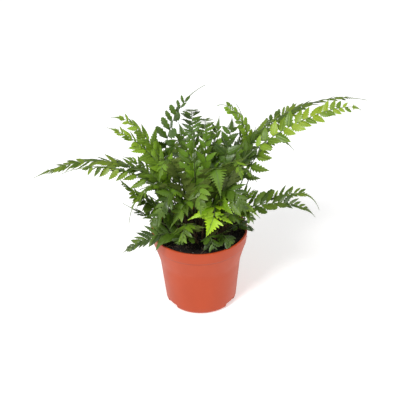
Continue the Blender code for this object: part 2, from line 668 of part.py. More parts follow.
def frond_sheet(frond, leaves=None, extra=0.0):
    """The frond's solid: a four-sided rod, and the leaflets of its left and right side."""
    shares = pair_shares(frond)
    rings = [frond.bare * step / STALK_STEPS for step in range(STALK_STEPS)]
    past_last = (1 + shares[-1]) / 2
    sheet = Sheet()
    tip = sheet.margin(1, rib_frame(frond, 1).place)
    ridge = [rib_ridge(sheet, frond, share, extra) for share in (FOOT, *rings, *shares, past_last)]
    edges = []
    for sign in (-1, 1):
        edge = [rib_edge(sheet, frond, share, sign, extra) for share in (FOOT, *rings)]
        growing = {}
        for pair in range(frond.pairs):
            if leaves and leaves[sign][pair]:
                growing[len(edge)] = leaves[sign][pair]
            edge += [rib_edge(sheet, frond, share, sign, extra)
                     for share in feet_shares(frond, shares, pair, sign)]
        edge.append(rib_edge(sheet, frond, past_last, sign, extra))
        edge.append(tip)
        sheet.strip([*ridge, tip], edge, growing)
        edges.append(edge)
    top, bottom = ridge[0][1:]
    left, right = edges[0][0][1], edges[1][0][1]
    sheet.faces += [(top, bottom, left), (top, right, bottom)]
    return sheet


def side_share(frond, shares, pair, sign):
    """Where a leaflet stands: those on the right a little further along than their partners."""
    return shares[pair] + (sign > 0) * STAGGER * spacing_share(frond, shares, pair)


def spacing_share(frond, shares, pair):
    following = shares[pair + 1] if pair + 1 < len(shares) else BLADE_END
    return following - shares[pair]


# ---------------------------------------------------------------- fronds: keeping clear
def box_of(points):
    low = [min(point[axis] for point in points) for axis in range(3)]
    high = [max(point[axis] for point in points) for axis in range(3)]
    return low, high


def boxes_meet(one, other):
    return all(one[0][axis] <= other[1][axis] and other[0][axis] <= one[1][axis]
               for axis in range(3))


class Neighbour(NamedTuple):
    """Something that stands where it is: leaflets keep clear of it."""
    owner: str
    box: tuple
    tree: BVHTree


def neighbour(owner, sheet):
    return Neighbour(owner, box_of(sheet.points), sheet.tree())


def object_neighbour(piece):
    """The pot or the soil as a neighbour."""
    shape = bmesh.new()
    shape.from_mesh(piece.data)
    corners = [vert.co.copy() for vert in shape.verts]
    tree = BVHTree.FromBMesh(shape)
    shape.free()
    return Neighbour(piece.name, box_of(corners), tree)


def is_clear(sheet, neighbours, owner):
    tree = sheet.tree()
    box = box_of(sheet.points)
    for other in neighbours:
        if other.owner != owner and boxes_meet(box, other.box) and tree.overlap(other.tree):
            return False
    return True


def place_leaflet(frond, shares, pair, sign, rods, leaflets):
    """Bend a leaflet up or down, and then shorten it, until it touches nothing.

    A place beyond the end of the leafy stretch, or one with no room at all, stays bare.
    """
    share = side_share(frond, shares, pair, sign)
    if blade_place(frond, share) > HABITS[frond.shape].end:
        return None
    spacing = spacing_share(frond, shares, pair) * rib_length(frond)
    owner = f"{frond.name} {pair}"
    for size in SIZES_TRIED:
        for lift in LIFTS_TRIED:
            leaf = leaflet(frond, share, sign, spacing, lift, size)
            grown = lone_leaflet(frond, shares, pair, sign, leaf, LEAFLET_CLEARANCE)
            if is_clear(grown, rods, frond.name) and is_clear(grown, leaflets, owner):
                real = lone_leaflet(frond, shares, pair, sign, leaf, 0)
                leaflets.append(neighbour(owner, real))
                return leaf
    return None


def make_fronds(fronds, standing):
    """Grow the fronds in the plan's order, each clear of those before it."""
    rods = standing + [neighbour(frond.name, frond_sheet(frond, extra=RUNNING_GAP))
                       for frond in fronds]
    leaflets = []
    for frond in fronds:
        shares = pair_shares(frond)
        leaves = {sign: [place_leaflet(frond, shares, pair, sign, rods, leaflets)
                         for pair in range(frond.pairs)] for sign in (-1, 1)}
        mesh = frond_sheet(frond, leaves).mesh(frond.name)
        finish_object(frond.name, mesh, LEAF_TONES[frond.tone])


pot = make_pot()
soil = make_soil(PLAN)
make_fronds(PLAN, [object_neighbour(pot), object_neighbour(soil)])
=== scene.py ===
"""Looks of a small evergreen fern in a 12 cm nursery pot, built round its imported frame."""

import math
import random
from typing import NamedTuple

import bmesh
import bpy
from mathutils import Matrix, Vector, noise


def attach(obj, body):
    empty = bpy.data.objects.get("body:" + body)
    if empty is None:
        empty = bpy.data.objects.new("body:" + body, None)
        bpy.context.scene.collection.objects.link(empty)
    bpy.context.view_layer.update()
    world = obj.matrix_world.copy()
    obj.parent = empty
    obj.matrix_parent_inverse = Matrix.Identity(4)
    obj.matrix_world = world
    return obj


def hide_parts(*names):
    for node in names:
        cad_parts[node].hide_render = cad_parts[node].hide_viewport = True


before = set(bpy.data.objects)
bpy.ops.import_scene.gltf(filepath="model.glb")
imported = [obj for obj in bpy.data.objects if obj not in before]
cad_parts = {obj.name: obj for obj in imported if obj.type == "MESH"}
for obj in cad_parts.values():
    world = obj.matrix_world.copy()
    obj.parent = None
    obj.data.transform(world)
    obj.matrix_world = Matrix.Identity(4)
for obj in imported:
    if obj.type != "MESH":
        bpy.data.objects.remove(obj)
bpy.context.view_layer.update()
MM = 0.001


# ================================================================ pot
# A thin-walled nursery pot, injection-moulded in terracotta-coloured polypropylene. Its wall
# flares out to a collar that stands a little proud of it. It stands by itself on a foot ring,
# and water drains through three notches in the ring.
RIM_RADIUS = 60 * MM
POT_HEIGHT = 102.5 * MM
COLLAR_SEAM = POT_HEIGHT - 16 * MM
COLLAR_FOOT_RADIUS = 58.6 * MM
COLLAR_STEP = 0.6 * MM
FLARE_FOOT = COLLAR_SEAM - 24.5 * MM
FLARE_FOOT_RADIUS = 50.6 * MM
BASE_RADIUS = 45 * MM
FOOT_HEIGHT = 7.5 * MM
FOOT_INNER_RADIUS = 37.5 * MM
BASE_ROUNDING = 6 * MM
POT_WALL = 1.4 * MM
RIM_LIP = 2.2 * MM
RIM_ROUNDING = 0.9 * MM
POT_SIDES = 144
SHARP_EDGE = 32                 # degrees
DRAIN_ANGLES = (-33, 90, 213)
DRAIN_WIDTH = 20 * MM
DRAIN_HEIGHT = 7 * MM
DRAIN_INNER_RADIUS = 36.5 * MM
DRAIN_EDGE = 1.1 * MM
WALL_TOP_RADIUS = COLLAR_FOOT_RADIUS - COLLAR_STEP
WALL_STEPS = (
    # radius and height of a mark on the outside; millimetres outwards and upwards from it
    (FLARE_FOOT_RADIUS, FLARE_FOOT, ((-0.4, -6.0), (0.2, -1.5), (1.4, 3.5))),
    (WALL_TOP_RADIUS, COLLAR_SEAM, ((-0.6, -2.5), (0.0, -0.3), (0.1, 0.0))),
    (COLLAR_FOOT_RADIUS, COLLAR_SEAM, ((-0.1, 0.4), (0.1, 0.9))),
    (RIM_RADIUS, POT_HEIGHT, ((-0.3, -4.2), (-0.1, -2.0))),
)
TERRACOTTA = (0.405, 0.049, 0.008)
# lighter vertical streaks: flow marks in the plastic, with painted sheen
TERRACOTTA_SHEEN_STREAK = (0.470, 0.060, 0.011)
TERRACOTTA_BLOTCH = (0.37, 0.044, 0.012)
SCUFF_COLOUR = (0.64, 0.22, 0.13)
DUST_COLOUR = (0.30, 0.13, 0.08)
# painted shade: the dark line in the step under the collar
SEAM_SHADE_COLOUR = (0.16, 0.020, 0.008)


class Wire:
    """An output socket that can be reckoned with like a number or a vector."""

    def __init__(self, tree, socket):
        self.tree = tree
        self.socket = socket

    def out(self, name):
        """Another output of the same node."""
        return Wire(self.tree, self.socket.node.outputs[name])

    def __add__(self, other):
        return self.tree.reckon("ADD", self, other)

    def __radd__(self, other):
        return self.tree.reckon("ADD", other, self)

    def __sub__(self, other):
        return self.tree.reckon("SUBTRACT", self, other)

    def __rsub__(self, other):
        return self.tree.reckon("SUBTRACT", other, self)

    def __mul__(self, other):
        return self.tree.reckon("MULTIPLY", self, other)

    def __rmul__(self, other):
        return self.tree.reckon("MULTIPLY", other, self)

    def __truediv__(self, other):
        return self.tree.reckon("DIVIDE", self, other)


class Tree:
    """A node tree in the making. Numbers and wires may be given to any of its nodes."""

    def __init__(self, group):
        self.group = group

    def node(self, kind, inputs=(), **settings):
        """Add a node; inputs is a dict by name or index, or a list in order."""
        node = self.group.nodes.new(kind)
        for name, value in settings.items():
            setattr(node, name, value)
        pairs = inputs.items() if isinstance(inputs, dict) else enumerate(inputs)
        for key, value in pairs:
            self.feed(node.inputs[key], value)
        shown = [socket for socket in node.outputs if socket.enabled]
        return Wire(self, shown[0]) if shown else node

    def feed(self, socket, value):
        if isinstance(value, Wire):
            self.group.links.new(value.socket, socket)
        elif value is not None:
            socket.default_value = value

    def reckon(self, operation, *values):
        """Number arithmetic, or vector arithmetic as soon as one value is a vector."""
        vectors = [self.is_vector(value) for value in values]
        if operation == "MULTIPLY" and any(vectors) and not all(vectors):
            vector, number = values if vectors[0] else reversed(values)
            return self.node("ShaderNodeVectorMath", {0: vector, "Scale": number},
                             operation="SCALE")
        kind = "ShaderNodeVectorMath" if any(vectors) else "ShaderNodeMath"
        return self.node(kind, values, operation=operation)

    @staticmethod
    def is_vector(value):
        return isinstance(value, Vector) or isinstance(value, Wire) and value.socket.type == "VECTOR"

    def axes(self, vector):
        """The X, Y and Z of a vector."""
        parts = self.node("ShaderNodeSeparateXYZ", [vector])
        return [parts.out(axis) for axis in "XYZ"]


class Material(Tree):
    """A Principled material whose sockets are fed by name."""

    def __init__(self, name, **constants):
        self.material = bpy.data.materials.new(name)
        self.material.use_nodes = True
        super().__init__(self.material.node_tree)
        self.shader = self.group.nodes["Principled BSDF"]
        for socket, value in constants.items():
            self.shader.inputs[socket.replace("_", " ")].default_value = value

    def set(self, socket, value):
        self.feed(self.shader.inputs[socket], value)

    def place(self, scale=(1, 1, 1)):
        """Object coordinates, stretched."""
        coordinates = self.node("ShaderNodeTexCoord").out("Object")
        return self.node("ShaderNodeMapping", {"Vector": coordinates, "Scale": scale})

    def noise(self, size, detail=3.0, roughness=0.5, stretch=(1, 1, 1)):
        """Smooth noise from 0 to 1 whose lumps are about size metres across."""
        return self.node("ShaderNodeTexNoise", {"Vector": self.place(stretch), "Scale": 1 / size,
                                                "Detail": detail, "Roughness": roughness})

    def ramp(self, value, low, high, start=0.0, end=1.0):
        """Map low..high smoothly to start..end."""
        return self.node("ShaderNodeMapRange", [value, low, high, start, end],
                         interpolation_type="SMOOTHSTEP")

    def blend(self, factor, first, second):
        """Mix two colours."""
        mix = self.group.nodes.new("ShaderNodeMix")
        mix.data_type = "RGBA"
        for key, value in ((0, factor), (6, first), (7, second)):
            if isinstance(value, tuple):
                value = (*value, 1.0)
            self.feed(mix.inputs[key], value)
        return Wire(self, mix.outputs[2])

    def bump(self, height, strength, distance):
        self.set("Normal", self.node("ShaderNodeBump", {"Height": height, "Strength": strength,
                                                        "Distance": distance}))


def arc(centre, radius, start, end, steps):
    """Points on an arc from one angle to another, in degrees."""
    angles = [math.radians(start + (end - start) * step / steps) for step in range(steps + 1)]
    return [(centre[0] + radius * math.cos(a), centre[1] + radius * math.sin(a)) for a in angles]


def turned(profile, sides):
    """Turn a radius-height outline, which starts and ends on the axis, round +Z.

    It runs up the outside first. The rings are laid one by one, so that the faces come in the
    same order each time and what is scattered on them falls in the same places.
    """
    shape = bmesh.new()
    rings = []
    for radius, height in profile:
        angles = [2 * math.pi * side / sides for side in range(sides if radius else 1)]
        rings.append([shape.verts.new((radius * math.cos(a), radius * math.sin(a), height))
                      for a in angles])
    for one, two in zip(rings, rings[1:]):
        for side in range(sides):
            after = (side + 1) % sides
            corners = (one[side % len(one)], one[after % len(one)],
                       two[after % len(two)], two[side % len(two)])
            shape.faces.new(dict.fromkeys(corners))
    return shape


def in_scene(name, data):
    """An object in the scene that shows this mesh, camera or light."""
    thing = bpy.data.objects.new(name, data)
    bpy.context.scene.collection.objects.link(thing)
    return thing


def as_object(name, shape, *materials):
    """Turn a bmesh into an object with these materials."""
    mesh = bpy.data.meshes.new(name)
    shape.to_mesh(mesh)
    shape.free()
    for material in materials:
        mesh.materials.append(material)
    return in_scene(name, mesh)


def apply_modifiers(piece):
    """Keep the shape that the modifiers give, and drop them."""
    bpy.context.view_layer.update()
    graph = bpy.context.evaluated_depsgraph_get()
    mesh = bpy.data.meshes.new_from_object(piece.evaluated_get(graph))
    piece.modifiers.clear()
    piece.data = mesh
    mesh.name = piece.name


def smooth(piece, degrees):
    """Shade a piece smooth, but for edges sharper than this."""
    piece.data.shade_smooth()
    piece.data.set_sharp_from_angle(angle=math.radians(degrees))


def pot_outline():
    """Radius and height, up the outside from the axis and down the inside to it."""
    edge_centre = (RIM_RADIUS - RIM_ROUNDING, POT_HEIGHT - RIM_ROUNDING)
    lip_centre = (RIM_RADIUS - RIM_LIP + 0.5 * RIM_ROUNDING, POT_HEIGHT - 0.5 * RIM_ROUNDING)
    corner_centre = (BASE_RADIUS - BASE_ROUNDING, BASE_ROUNDING)
    outside = [(0, FOOT_HEIGHT), (FOOT_INNER_RADIUS, FOOT_HEIGHT), (FOOT_INNER_RADIUS, 0)]
    outside += arc(corner_centre, BASE_ROUNDING, -90, 0, 10)
    outside += [(radius + out * MM, height + up * MM)
                for radius, height, steps in WALL_STEPS for out, up in steps]
    outside += arc(edge_centre, RIM_ROUNDING, 0, 90, 5)
    inside = arc(lip_centre, 0.5 * RIM_ROUNDING, 90, 180, 3)
    inside += [
        (RIM_RADIUS - RIM_LIP, POT_HEIGHT - RIM_LIP),
        (WALL_TOP_RADIUS - POT_WALL, COLLAR_SEAM),
        (FLARE_FOOT_RADIUS - POT_WALL, FLARE_FOOT),
        (BASE_RADIUS - POT_WALL, FOOT_HEIGHT + BASE_ROUNDING),
        (BASE_RADIUS - BASE_ROUNDING, FOOT_HEIGHT + POT_WALL),
        (0, FOOT_HEIGHT + POT_WALL),
    ]
    return outside + inside


def drain_slots():
    """Blocks with rounded edges that notch the foot ring."""
    shape = bmesh.new()
    depth = BASE_RADIUS - DRAIN_INNER_RADIUS + BASE_ROUNDING
    size = Matrix.Diagonal((depth, DRAIN_WIDTH, 2 * DRAIN_HEIGHT, 1))
    for angle in DRAIN_ANGLES:
        turn = Matrix.Rotation(math.radians(angle), 4, "Z")
        out = Matrix.Translation((DRAIN_INNER_RADIUS + depth / 2, 0, 0))
        block = bmesh.ops.create_cube(shape, size=1, matrix=turn @ out @ size)
        edges = {edge for vert in block["verts"] for edge in vert.link_edges}
        bmesh.ops.bevel(shape, geom=list(edges), offset=DRAIN_EDGE, segments=3, profile=0.5,
                        affect="EDGES")
    return shape


def terracotta_plastic():
    """Semi-gloss moulded plastic: flow marks with painted sheen, scuffs, a dusty foot, painted seam
    shade.
    """
    plastic = Material("terracotta_plastic", Specular_IOR_Level=0.35, IOR=1.46)
    # lighter vertical streaks: flow marks, with painted sheen
    flow_and_sheen = plastic.noise(26 * MM, stretch=(1, 1, 0.35))
    blotches = plastic.noise(9 * MM, detail=5)
    scuffs = plastic.ramp(plastic.noise(1.6 * MM, detail=6, stretch=(1, 1, 5)), 0.62, 0.74)
    height = plastic.axes(plastic.place())[2]
    foot_dust = plastic.ramp(height, 16 * MM, 0.0) * plastic.ramp(blotches, 0.35, 0.65)
    # painted shade: a dark line in the step under the collar's overhang
    seam_shade = (plastic.ramp(height, COLLAR_SEAM - 1.6 * MM, COLLAR_SEAM)
                 * plastic.ramp(height, COLLAR_SEAM + 0.7 * MM, COLLAR_SEAM))
    colour = plastic.blend(flow_and_sheen, TERRACOTTA, TERRACOTTA_SHEEN_STREAK)
    colour = plastic.blend(0.35 * blotches, colour, TERRACOTTA_BLOTCH)
    colour = plastic.blend(0.16 * scuffs, colour, SCUFF_COLOUR)
    colour = plastic.blend(0.22 * foot_dust, colour, DUST_COLOUR)
    colour = plastic.blend(0.6 * seam_shade, colour, SEAM_SHADE_COLOUR)
    plastic.set("Base Color", colour)
    plastic.set("Roughness", 0.36 + 0.12 * blotches + 0.14 * scuffs)
    plastic.bump(plastic.noise(0.9 * MM, detail=2), 0.10, 0.1 * MM)
    return plastic.material


slots = as_object("drain_slots", drain_slots())
pot = as_object("nursery_pot", turned(pot_outline(), POT_SIDES), terracotta_plastic())
boolean = pot.modifiers.new("drain", "BOOLEAN")
boolean.object = slots
apply_modifiers(pot)
bpy.data.objects.remove(slots)
smooth(pot, SHARP_EDGE)
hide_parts("pot")
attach(pot, "root")


# ================================================================ soil
# Dark, moist peat potting mix: a lumpy fill up to 7 mm below the rim, with loose crumbs, bark
# fibres and a few pale bits of perlite lying on it. The fronds stand in it.
SOIL_TOP = POT_HEIGHT - 7 * MM
SOIL_SLOPE = (-0.035, -0.030)
SOIL_LUMP = 0.7 * MM
SOIL_GAP = 0.3 * MM
PEAT_BLACK = (0.006, 0.0045, 0.004)
PEAT_DARK = (0.022, 0.015, 0.011)
PEAT_GRAIN = (0.060, 0.038, 0.024)
BARK_DARK = (0.050, 0.030, 0.018)
BARK_PALE = (0.34, 0.24, 0.15)
PERLITE_STAINED = (0.22, 0.19, 0.16)
PERLITE_PALE = (0.62, 0.58, 0.52)
SOIL_SIDES = 96
SOIL_RINGS = 22
SOIL_ROUGHNESS = 0.9            # millimetres
SOIL_GRAIN = 5 * MM
SOIL_EDGE = 4 * MM              # width over which the lumps fade out next to the pot


def soil_level(x, y):
    """Height of the soil: highest at the front left, lowest at the back right, and lumpy.

    The lumps are waves 8 to 23 mm long.
    """
    slope_x, slope_y = SOIL_SLOPE
    lumps = math.sin(x * 310 + 1.3) * math.cos(y * 270 - 0.6) + 0.5 * math.sin(x * 520 - y * 610)
    return SOIL_TOP + slope_x * x + slope_y * y + SOIL_LUMP * lumps


def soil_shape():
    """The pot's inside, closed by a rough surface."""
    inner_seam = WALL_TOP_RADIUS - POT_WALL
    share = (SOIL_TOP - COLLAR_SEAM) / (POT_HEIGHT - RIM_LIP - COLLAR_SEAM)
    top_radius = inner_seam + share * (RIM_RADIUS - RIM_LIP - inner_seam) - 2 * SOIL_GAP
    bottom = FOOT_HEIGHT + POT_WALL + SOIL_GAP
    profile = [
        (0, bottom),
        (BASE_RADIUS - BASE_ROUNDING - 2 * SOIL_GAP, bottom),
        (BASE_RADIUS - POT_WALL - 2 * SOIL_GAP, FOOT_HEIGHT + BASE_ROUNDING + 2 * SOIL_GAP),
        (FLARE_FOOT_RADIUS - POT_WALL - 2 * SOIL_GAP, FLARE_FOOT),
        (inner_seam - 2 * SOIL_GAP, COLLAR_SEAM),
    ]
    profile += [(top_radius * (1 - ring / SOIL_RINGS), SOIL_TOP) for ring in range(SOIL_RINGS + 1)]
    shape = turned(profile, SOIL_SIDES)
    for vert in shape.verts:
        if abs(vert.co.z - SOIL_TOP) < 1e-6:
            x, y, _ = vert.co
            edge = min(1, (top_radius - math.hypot(x, y)) / SOIL_EDGE)
            rough = noise.fractal(Vector((x, y, 0.3)) / SOIL_GRAIN, 0.9, 2.1, 4)
            vert.co.z = soil_level(x, y) + edge * SOIL_ROUGHNESS * MM * rough
    return shape


def crumb(number):
    """One irregular, squashed crumb, 1 across; every other one has a finer surface."""
    shape = bmesh.new()
    bmesh.ops.create_icosphere(shape, subdivisions=1 + number % 2, radius=0.5)
    for vert in shape.verts:
        push = 1 + 0.55 * noise.noise(vert.co * 2.4 + Vector((3.7 * number, 0, 0)))
        vert.co = Vector((vert.co.x, vert.co.y, 0.75 * vert.co.z)) * push
    return as_object(f"crumb_{number}", shape)


def fibre(number):
    """A thin, bent, three-sided fibre, 1 long."""
    shape = bmesh.new()
    bend = random.Random(number).uniform(-0.5, 0.5)
    rings = []
    for step in range(6):
        x = step / 5 - 0.5
        centre = Vector((x, bend * (0.25 - x * x), 0.12 * math.sin(4 * x + number)))
        radius = 0.035 * (1 - 0.7 * abs(2 * x))
        rings.append([shape.verts.new(centre + radius * Vector((0, math.cos(a), math.sin(a))))
                      for a in (0, 2.1, 4.2)])
    for one, two in zip(rings, rings[1:]):
        for side in range(3):
            after = (side + 1) % 3
            shape.faces.new((one[side], one[after], two[after], two[side]))
    shape.faces.new(reversed(rings[0]))
    shape.faces.new(rings[-1])
    bmesh.ops.recalc_face_normals(shape, faces=shape.faces)
    return as_object(f"fibre_{number}", shape)


def peat():
    """Near-black moist peat with brown bits."""
    soil = Material("potting_soil", Specular_IOR_Level=0.35)
    patches = soil.noise(6 * MM, detail=6)
    grains = soil.noise(1.1 * MM, detail=4)
    colour = soil.blend(soil.ramp(patches, 0.35, 0.7), PEAT_BLACK, PEAT_DARK)
    colour = soil.blend(soil.ramp(grains, 0.6, 0.78), colour, PEAT_GRAIN)
    soil.set("Base Color", colour)
    soil.set("Roughness", soil.ramp(grains, 0.3, 0.8, 0.95, 0.7))
    soil.bump(grains + soil.noise(0.4 * MM), 0.9, 0.7 * MM)
    return soil.material


def bark_fibre():
    """Tan to brown bark and root fibres."""
    bark = Material("bark_fibre", Roughness=0.8)
    bark.set("Base Color", bark.blend(bark.noise(7 * MM), BARK_DARK, BARK_PALE))
    bark.bump(bark.noise(0.5 * MM), 0.4, 0.1 * MM)
    return bark.material


def perlite():
    """Chalky white-grey volcanic glass, stained by the peat."""
    stone = Material("perlite", Roughness=0.85)
    stains = stone.noise(2.2 * MM, detail=5)
    stone.set("Base Color", stone.blend(stains, PERLITE_STAINED, PERLITE_PALE))
    stone.bump(stone.noise(0.5 * MM, detail=5), 0.7, 0.3 * MM)
    return stone.material


class GeometryTree(Tree):
    """A Geometry Nodes tree with named inputs, for a modifier."""

    def __init__(self, name, **inputs):
        super().__init__(bpy.data.node_groups.new(name, "GeometryNodeTree"))
        self.socket("Geometry", "INPUT", "Geometry")
        for label, kind in inputs.items():
            self.socket(label.replace("_", " "), "INPUT", kind)
        self.socket("Geometry", "OUTPUT", "Geometry")
        self.start = self.group.nodes.new("NodeGroupInput")

    def socket(self, label, way, kind):
        self.group.interface.new_socket(label, in_out=way, socket_type=f"NodeSocket{kind}")

    def given(self, name):
        """What comes in through this input."""
        return Wire(self, self.start.outputs[name])

    def join(self, *parts):
        node = self.group.nodes.new("GeometryNodeJoinGeometry")
        for part in parts:
            self.group.links.new(part.socket, node.inputs[0])
        return Wire(self, node.outputs[0])

    def random(self, low, high, seed):
        """A number for each point, fixed by the tree's Seed input and one of its own."""
        inputs = {"Seed": self.given("Seed") + seed}
        node = self.node("FunctionNodeRandomValue", inputs, data_type="FLOAT").socket.node
        node.inputs[2].default_value = low
        node.inputs[3].default_value = high
        return Wire(self, node.outputs[1])

    def combine(self, x, y, z):
        return self.node("ShaderNodeCombineXYZ", [x, y, z])

    def store(self, geometry, name, value, domain="POINT"):
        """Keep a number on the geometry under this name."""
        return self.node("GeometryNodeStoreNamedAttribute",
                         {"Geometry": geometry, "Name": name, "Value": value},
                         domain=domain, data_type="FLOAT")

    def copies(self, points, kit_name, rotation, size, pick=None, selection=True):
        """Copies of a kit on points: of the piece whose index is picked, or of the whole kit."""
        picked = pick is not None
        pieces = self.node("GeometryNodeCollectionInfo", {
            "Collection": self.given(kit_name), "Separate Children": picked,
            "Reset Children": picked})
        return self.node("GeometryNodeInstanceOnPoints", {
            "Points": points, "Selection": selection, "Instance": pieces,
            "Pick Instance": picked, "Instance Index": pick, "Rotation": rotation, "Scale": size})

    def real(self, copies):
        """Turn copies into plain geometry."""
        return self.node("GeometryNodeRealizeInstances", [copies])

    def moved(self, geometry, **where):
        """Geometry whose points are at a new Position, or shifted by an Offset."""
        return self.node("GeometryNodeSetPosition", {"Geometry": geometry, **where})

    def painted(self, geometry, material_name):
        return self.node("GeometryNodeSetMaterial", {"Geometry": geometry,
                                                     "Material": self.given(material_name)})

    def finish(self, geometry):
        end = self.group.nodes.new("NodeGroupOutput")
        self.group.links.new(geometry.socket, end.inputs[0])
        return self.group


def grow(piece, group, **values):
    """Run a tree on a piece with these inputs, and keep the result as a plain mesh."""
    modifier = piece.modifiers.new(group.name, "NODES")
    modifier.node_group = group
    sockets = {item.name: item.identifier for item in group.interface.items_tree
               if item.in_out == "INPUT"}
    for name, value in values.items():
        modifier[sockets[name.replace("_", " ")]] = value
    apply_modifiers(piece)


def kit(name, pieces):
    """Put model pieces in a collection that the scene doesn't show."""
    collection = bpy.data.collections.new(name)
    for piece in pieces:
        bpy.context.scene.collection.objects.unlink(piece)
        collection.objects.link(piece)
    return collection


def litter_tree():
    """Scatters pieces of a kit on the soil's top, each turned and sized by chance."""
    tree = GeometryTree("soil_litter", Kit="Collection", Density="Float", Size="Float",
                        Size_Spread="Float", Tilt="Float", Lift="Float", Seed="Int",
                        Material="Material")
    up = tree.axes(tree.node("GeometryNodeInputNormal"))[2]
    points = tree.node("GeometryNodeDistributePointsOnFaces", {
        "Mesh": tree.given("Geometry"), "Selection": tree.reckon("GREATER_THAN", up, 0.4),
        "Density": tree.given("Density"), "Seed": tree.given("Seed")})
    tilt = tree.given("Tilt")
    turn = tree.combine(tree.random(-1, 1, 1) * tilt, tree.random(-1, 1, 2) * tilt,
                        tree.random(0, 6.283, 3))
    spread = tree.random(0, 1, 4)
    size = tree.given("Size") * (1 + tree.given("Size Spread") * spread * spread * spread)
    placed = tree.copies(points, "Kit", tree.node("FunctionNodeEulerToRotation", [turn]),
                         tree.combine(size, size, size), pick=tree.random(0, 60, 5))
    lifted = tree.moved(tree.real(placed), Offset=tree.combine(0.0, 0.0, tree.given("Lift")))
    return tree.finish(tree.painted(tree.node("GeometryNodeSetShadeSmooth", [lifted]), "Material"))


soil = as_object("potting_soil", soil_shape(), peat())
smooth(soil, 60)
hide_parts("soil")
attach(soil, "root")

crumb_kit = kit("crumbs", [crumb(number) for number in range(4)])
fibre_kit = kit("fibres", [fibre(number) for number in range(4)])
litter = litter_tree()
LITTER = (
    # name, kit, pieces per square metre, size, spread, tilt, lift, seed, material
    ("soil_crumbs", crumb_kit, 1.5e5, 1.14 * MM, 2.4, 1.5, 0.1 * MM, 3, peat()),
    ("soil_fibres", fibre_kit, 2.6e4, 4.5 * MM, 2.0, 0.35, 0.5 * MM, 5, bark_fibre()),
    ("soil_perlite", crumb_kit, 2.2e3, 1.3 * MM, 1.3, 1.5, 0.2 * MM, 8, perlite()),
)
for name, pieces, density, size, spread, tilt, lift, seed, material in LITTER:
    scatter = as_object(name, soil_shape())
    grow(scatter, litter, Kit=pieces, Density=density, Size=size, Size_Spread=spread, Tilt=tilt,
         Lift=lift, Seed=seed, Material=material)
    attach(scatter, "root")


# ================================================================ fronds: the leaflets
# Leathery, glossy leaflets, cut into toothed lobes. Low on a frond they are cut almost to the
# midrib, further up they are toothed, and the last ones run together in one long toothed tip.
# Each outline is grown here 1 long as a thin closed leaf, in a right-hand and a left-hand form.
class Outline(NamedTuple):
    """How a leaflet is cut. Lengths are shares of the leaflet's length."""
    lobes: int          # on each side of the midrib
    half_width: float
    widest: float       # where along the leaflet that is; 0 for one that starts at its widest
    taper: float        # how pointed both ends are
    cut: float          # how far the gaps between lobes reach in, from 0 to 1
    lean: float         # angle between midrib and side veins, in degrees
    teeth: int          # small teeth on each lobe, besides its own point
    bite: float         # depth of the gaps between small teeth
    ear: float          # extra width next to the rib, on the side of the frond's tip
    sickle: float       # bend towards the frond's tip
    droop: float        # fall of the leaflet's tip
    fold: float         # how far the two halves fall from the midrib


OUTLINES = (
    Outline(lobes=6, half_width=.25, widest=.27, taper=1.7, cut=.50, lean=50, teeth=1, bite=.10,
            ear=.45, sickle=.07, droop=.16, fold=.10),
    Outline(lobes=6, half_width=.235, widest=.33, taper=1.5, cut=.38, lean=46, teeth=0, bite=.10,
            ear=.50, sickle=.10, droop=.14, fold=.08),
    Outline(lobes=4, half_width=.265, widest=.56, taper=1.25, cut=.36, lean=36, teeth=1, bite=.08,
            ear=.20, sickle=.06, droop=.10, fold=.06),
    Outline(lobes=4, half_width=.22, widest=.46, taper=1.35, cut=.34, lean=42, teeth=0, bite=.10,
            ear=.30, sickle=.10, droop=.12, fold=.06),
)
CUT, TOOTHED, BLUNT, SMALL = range(len(OUTLINES))
VARIANTS = 2
LEAFLET_SEED = 11
LEAF_HALF_THICKNESS = 0.010     # at the midrib
THINNING = 0.6                  # share of the thickness that is gone at the leaflet's tip
PUFF = 0.018                    # how far a lobe bulges between its veins
RIPPLE = 0.014                  # height of the waves along the margin
BASE_HALF_WIDTH = 0.022
LOBE_POINT = 0.80               # where across a lobe its point is
TOOTH_STEP = 0.05               # share of a lobe between a tooth's point and the gap after it


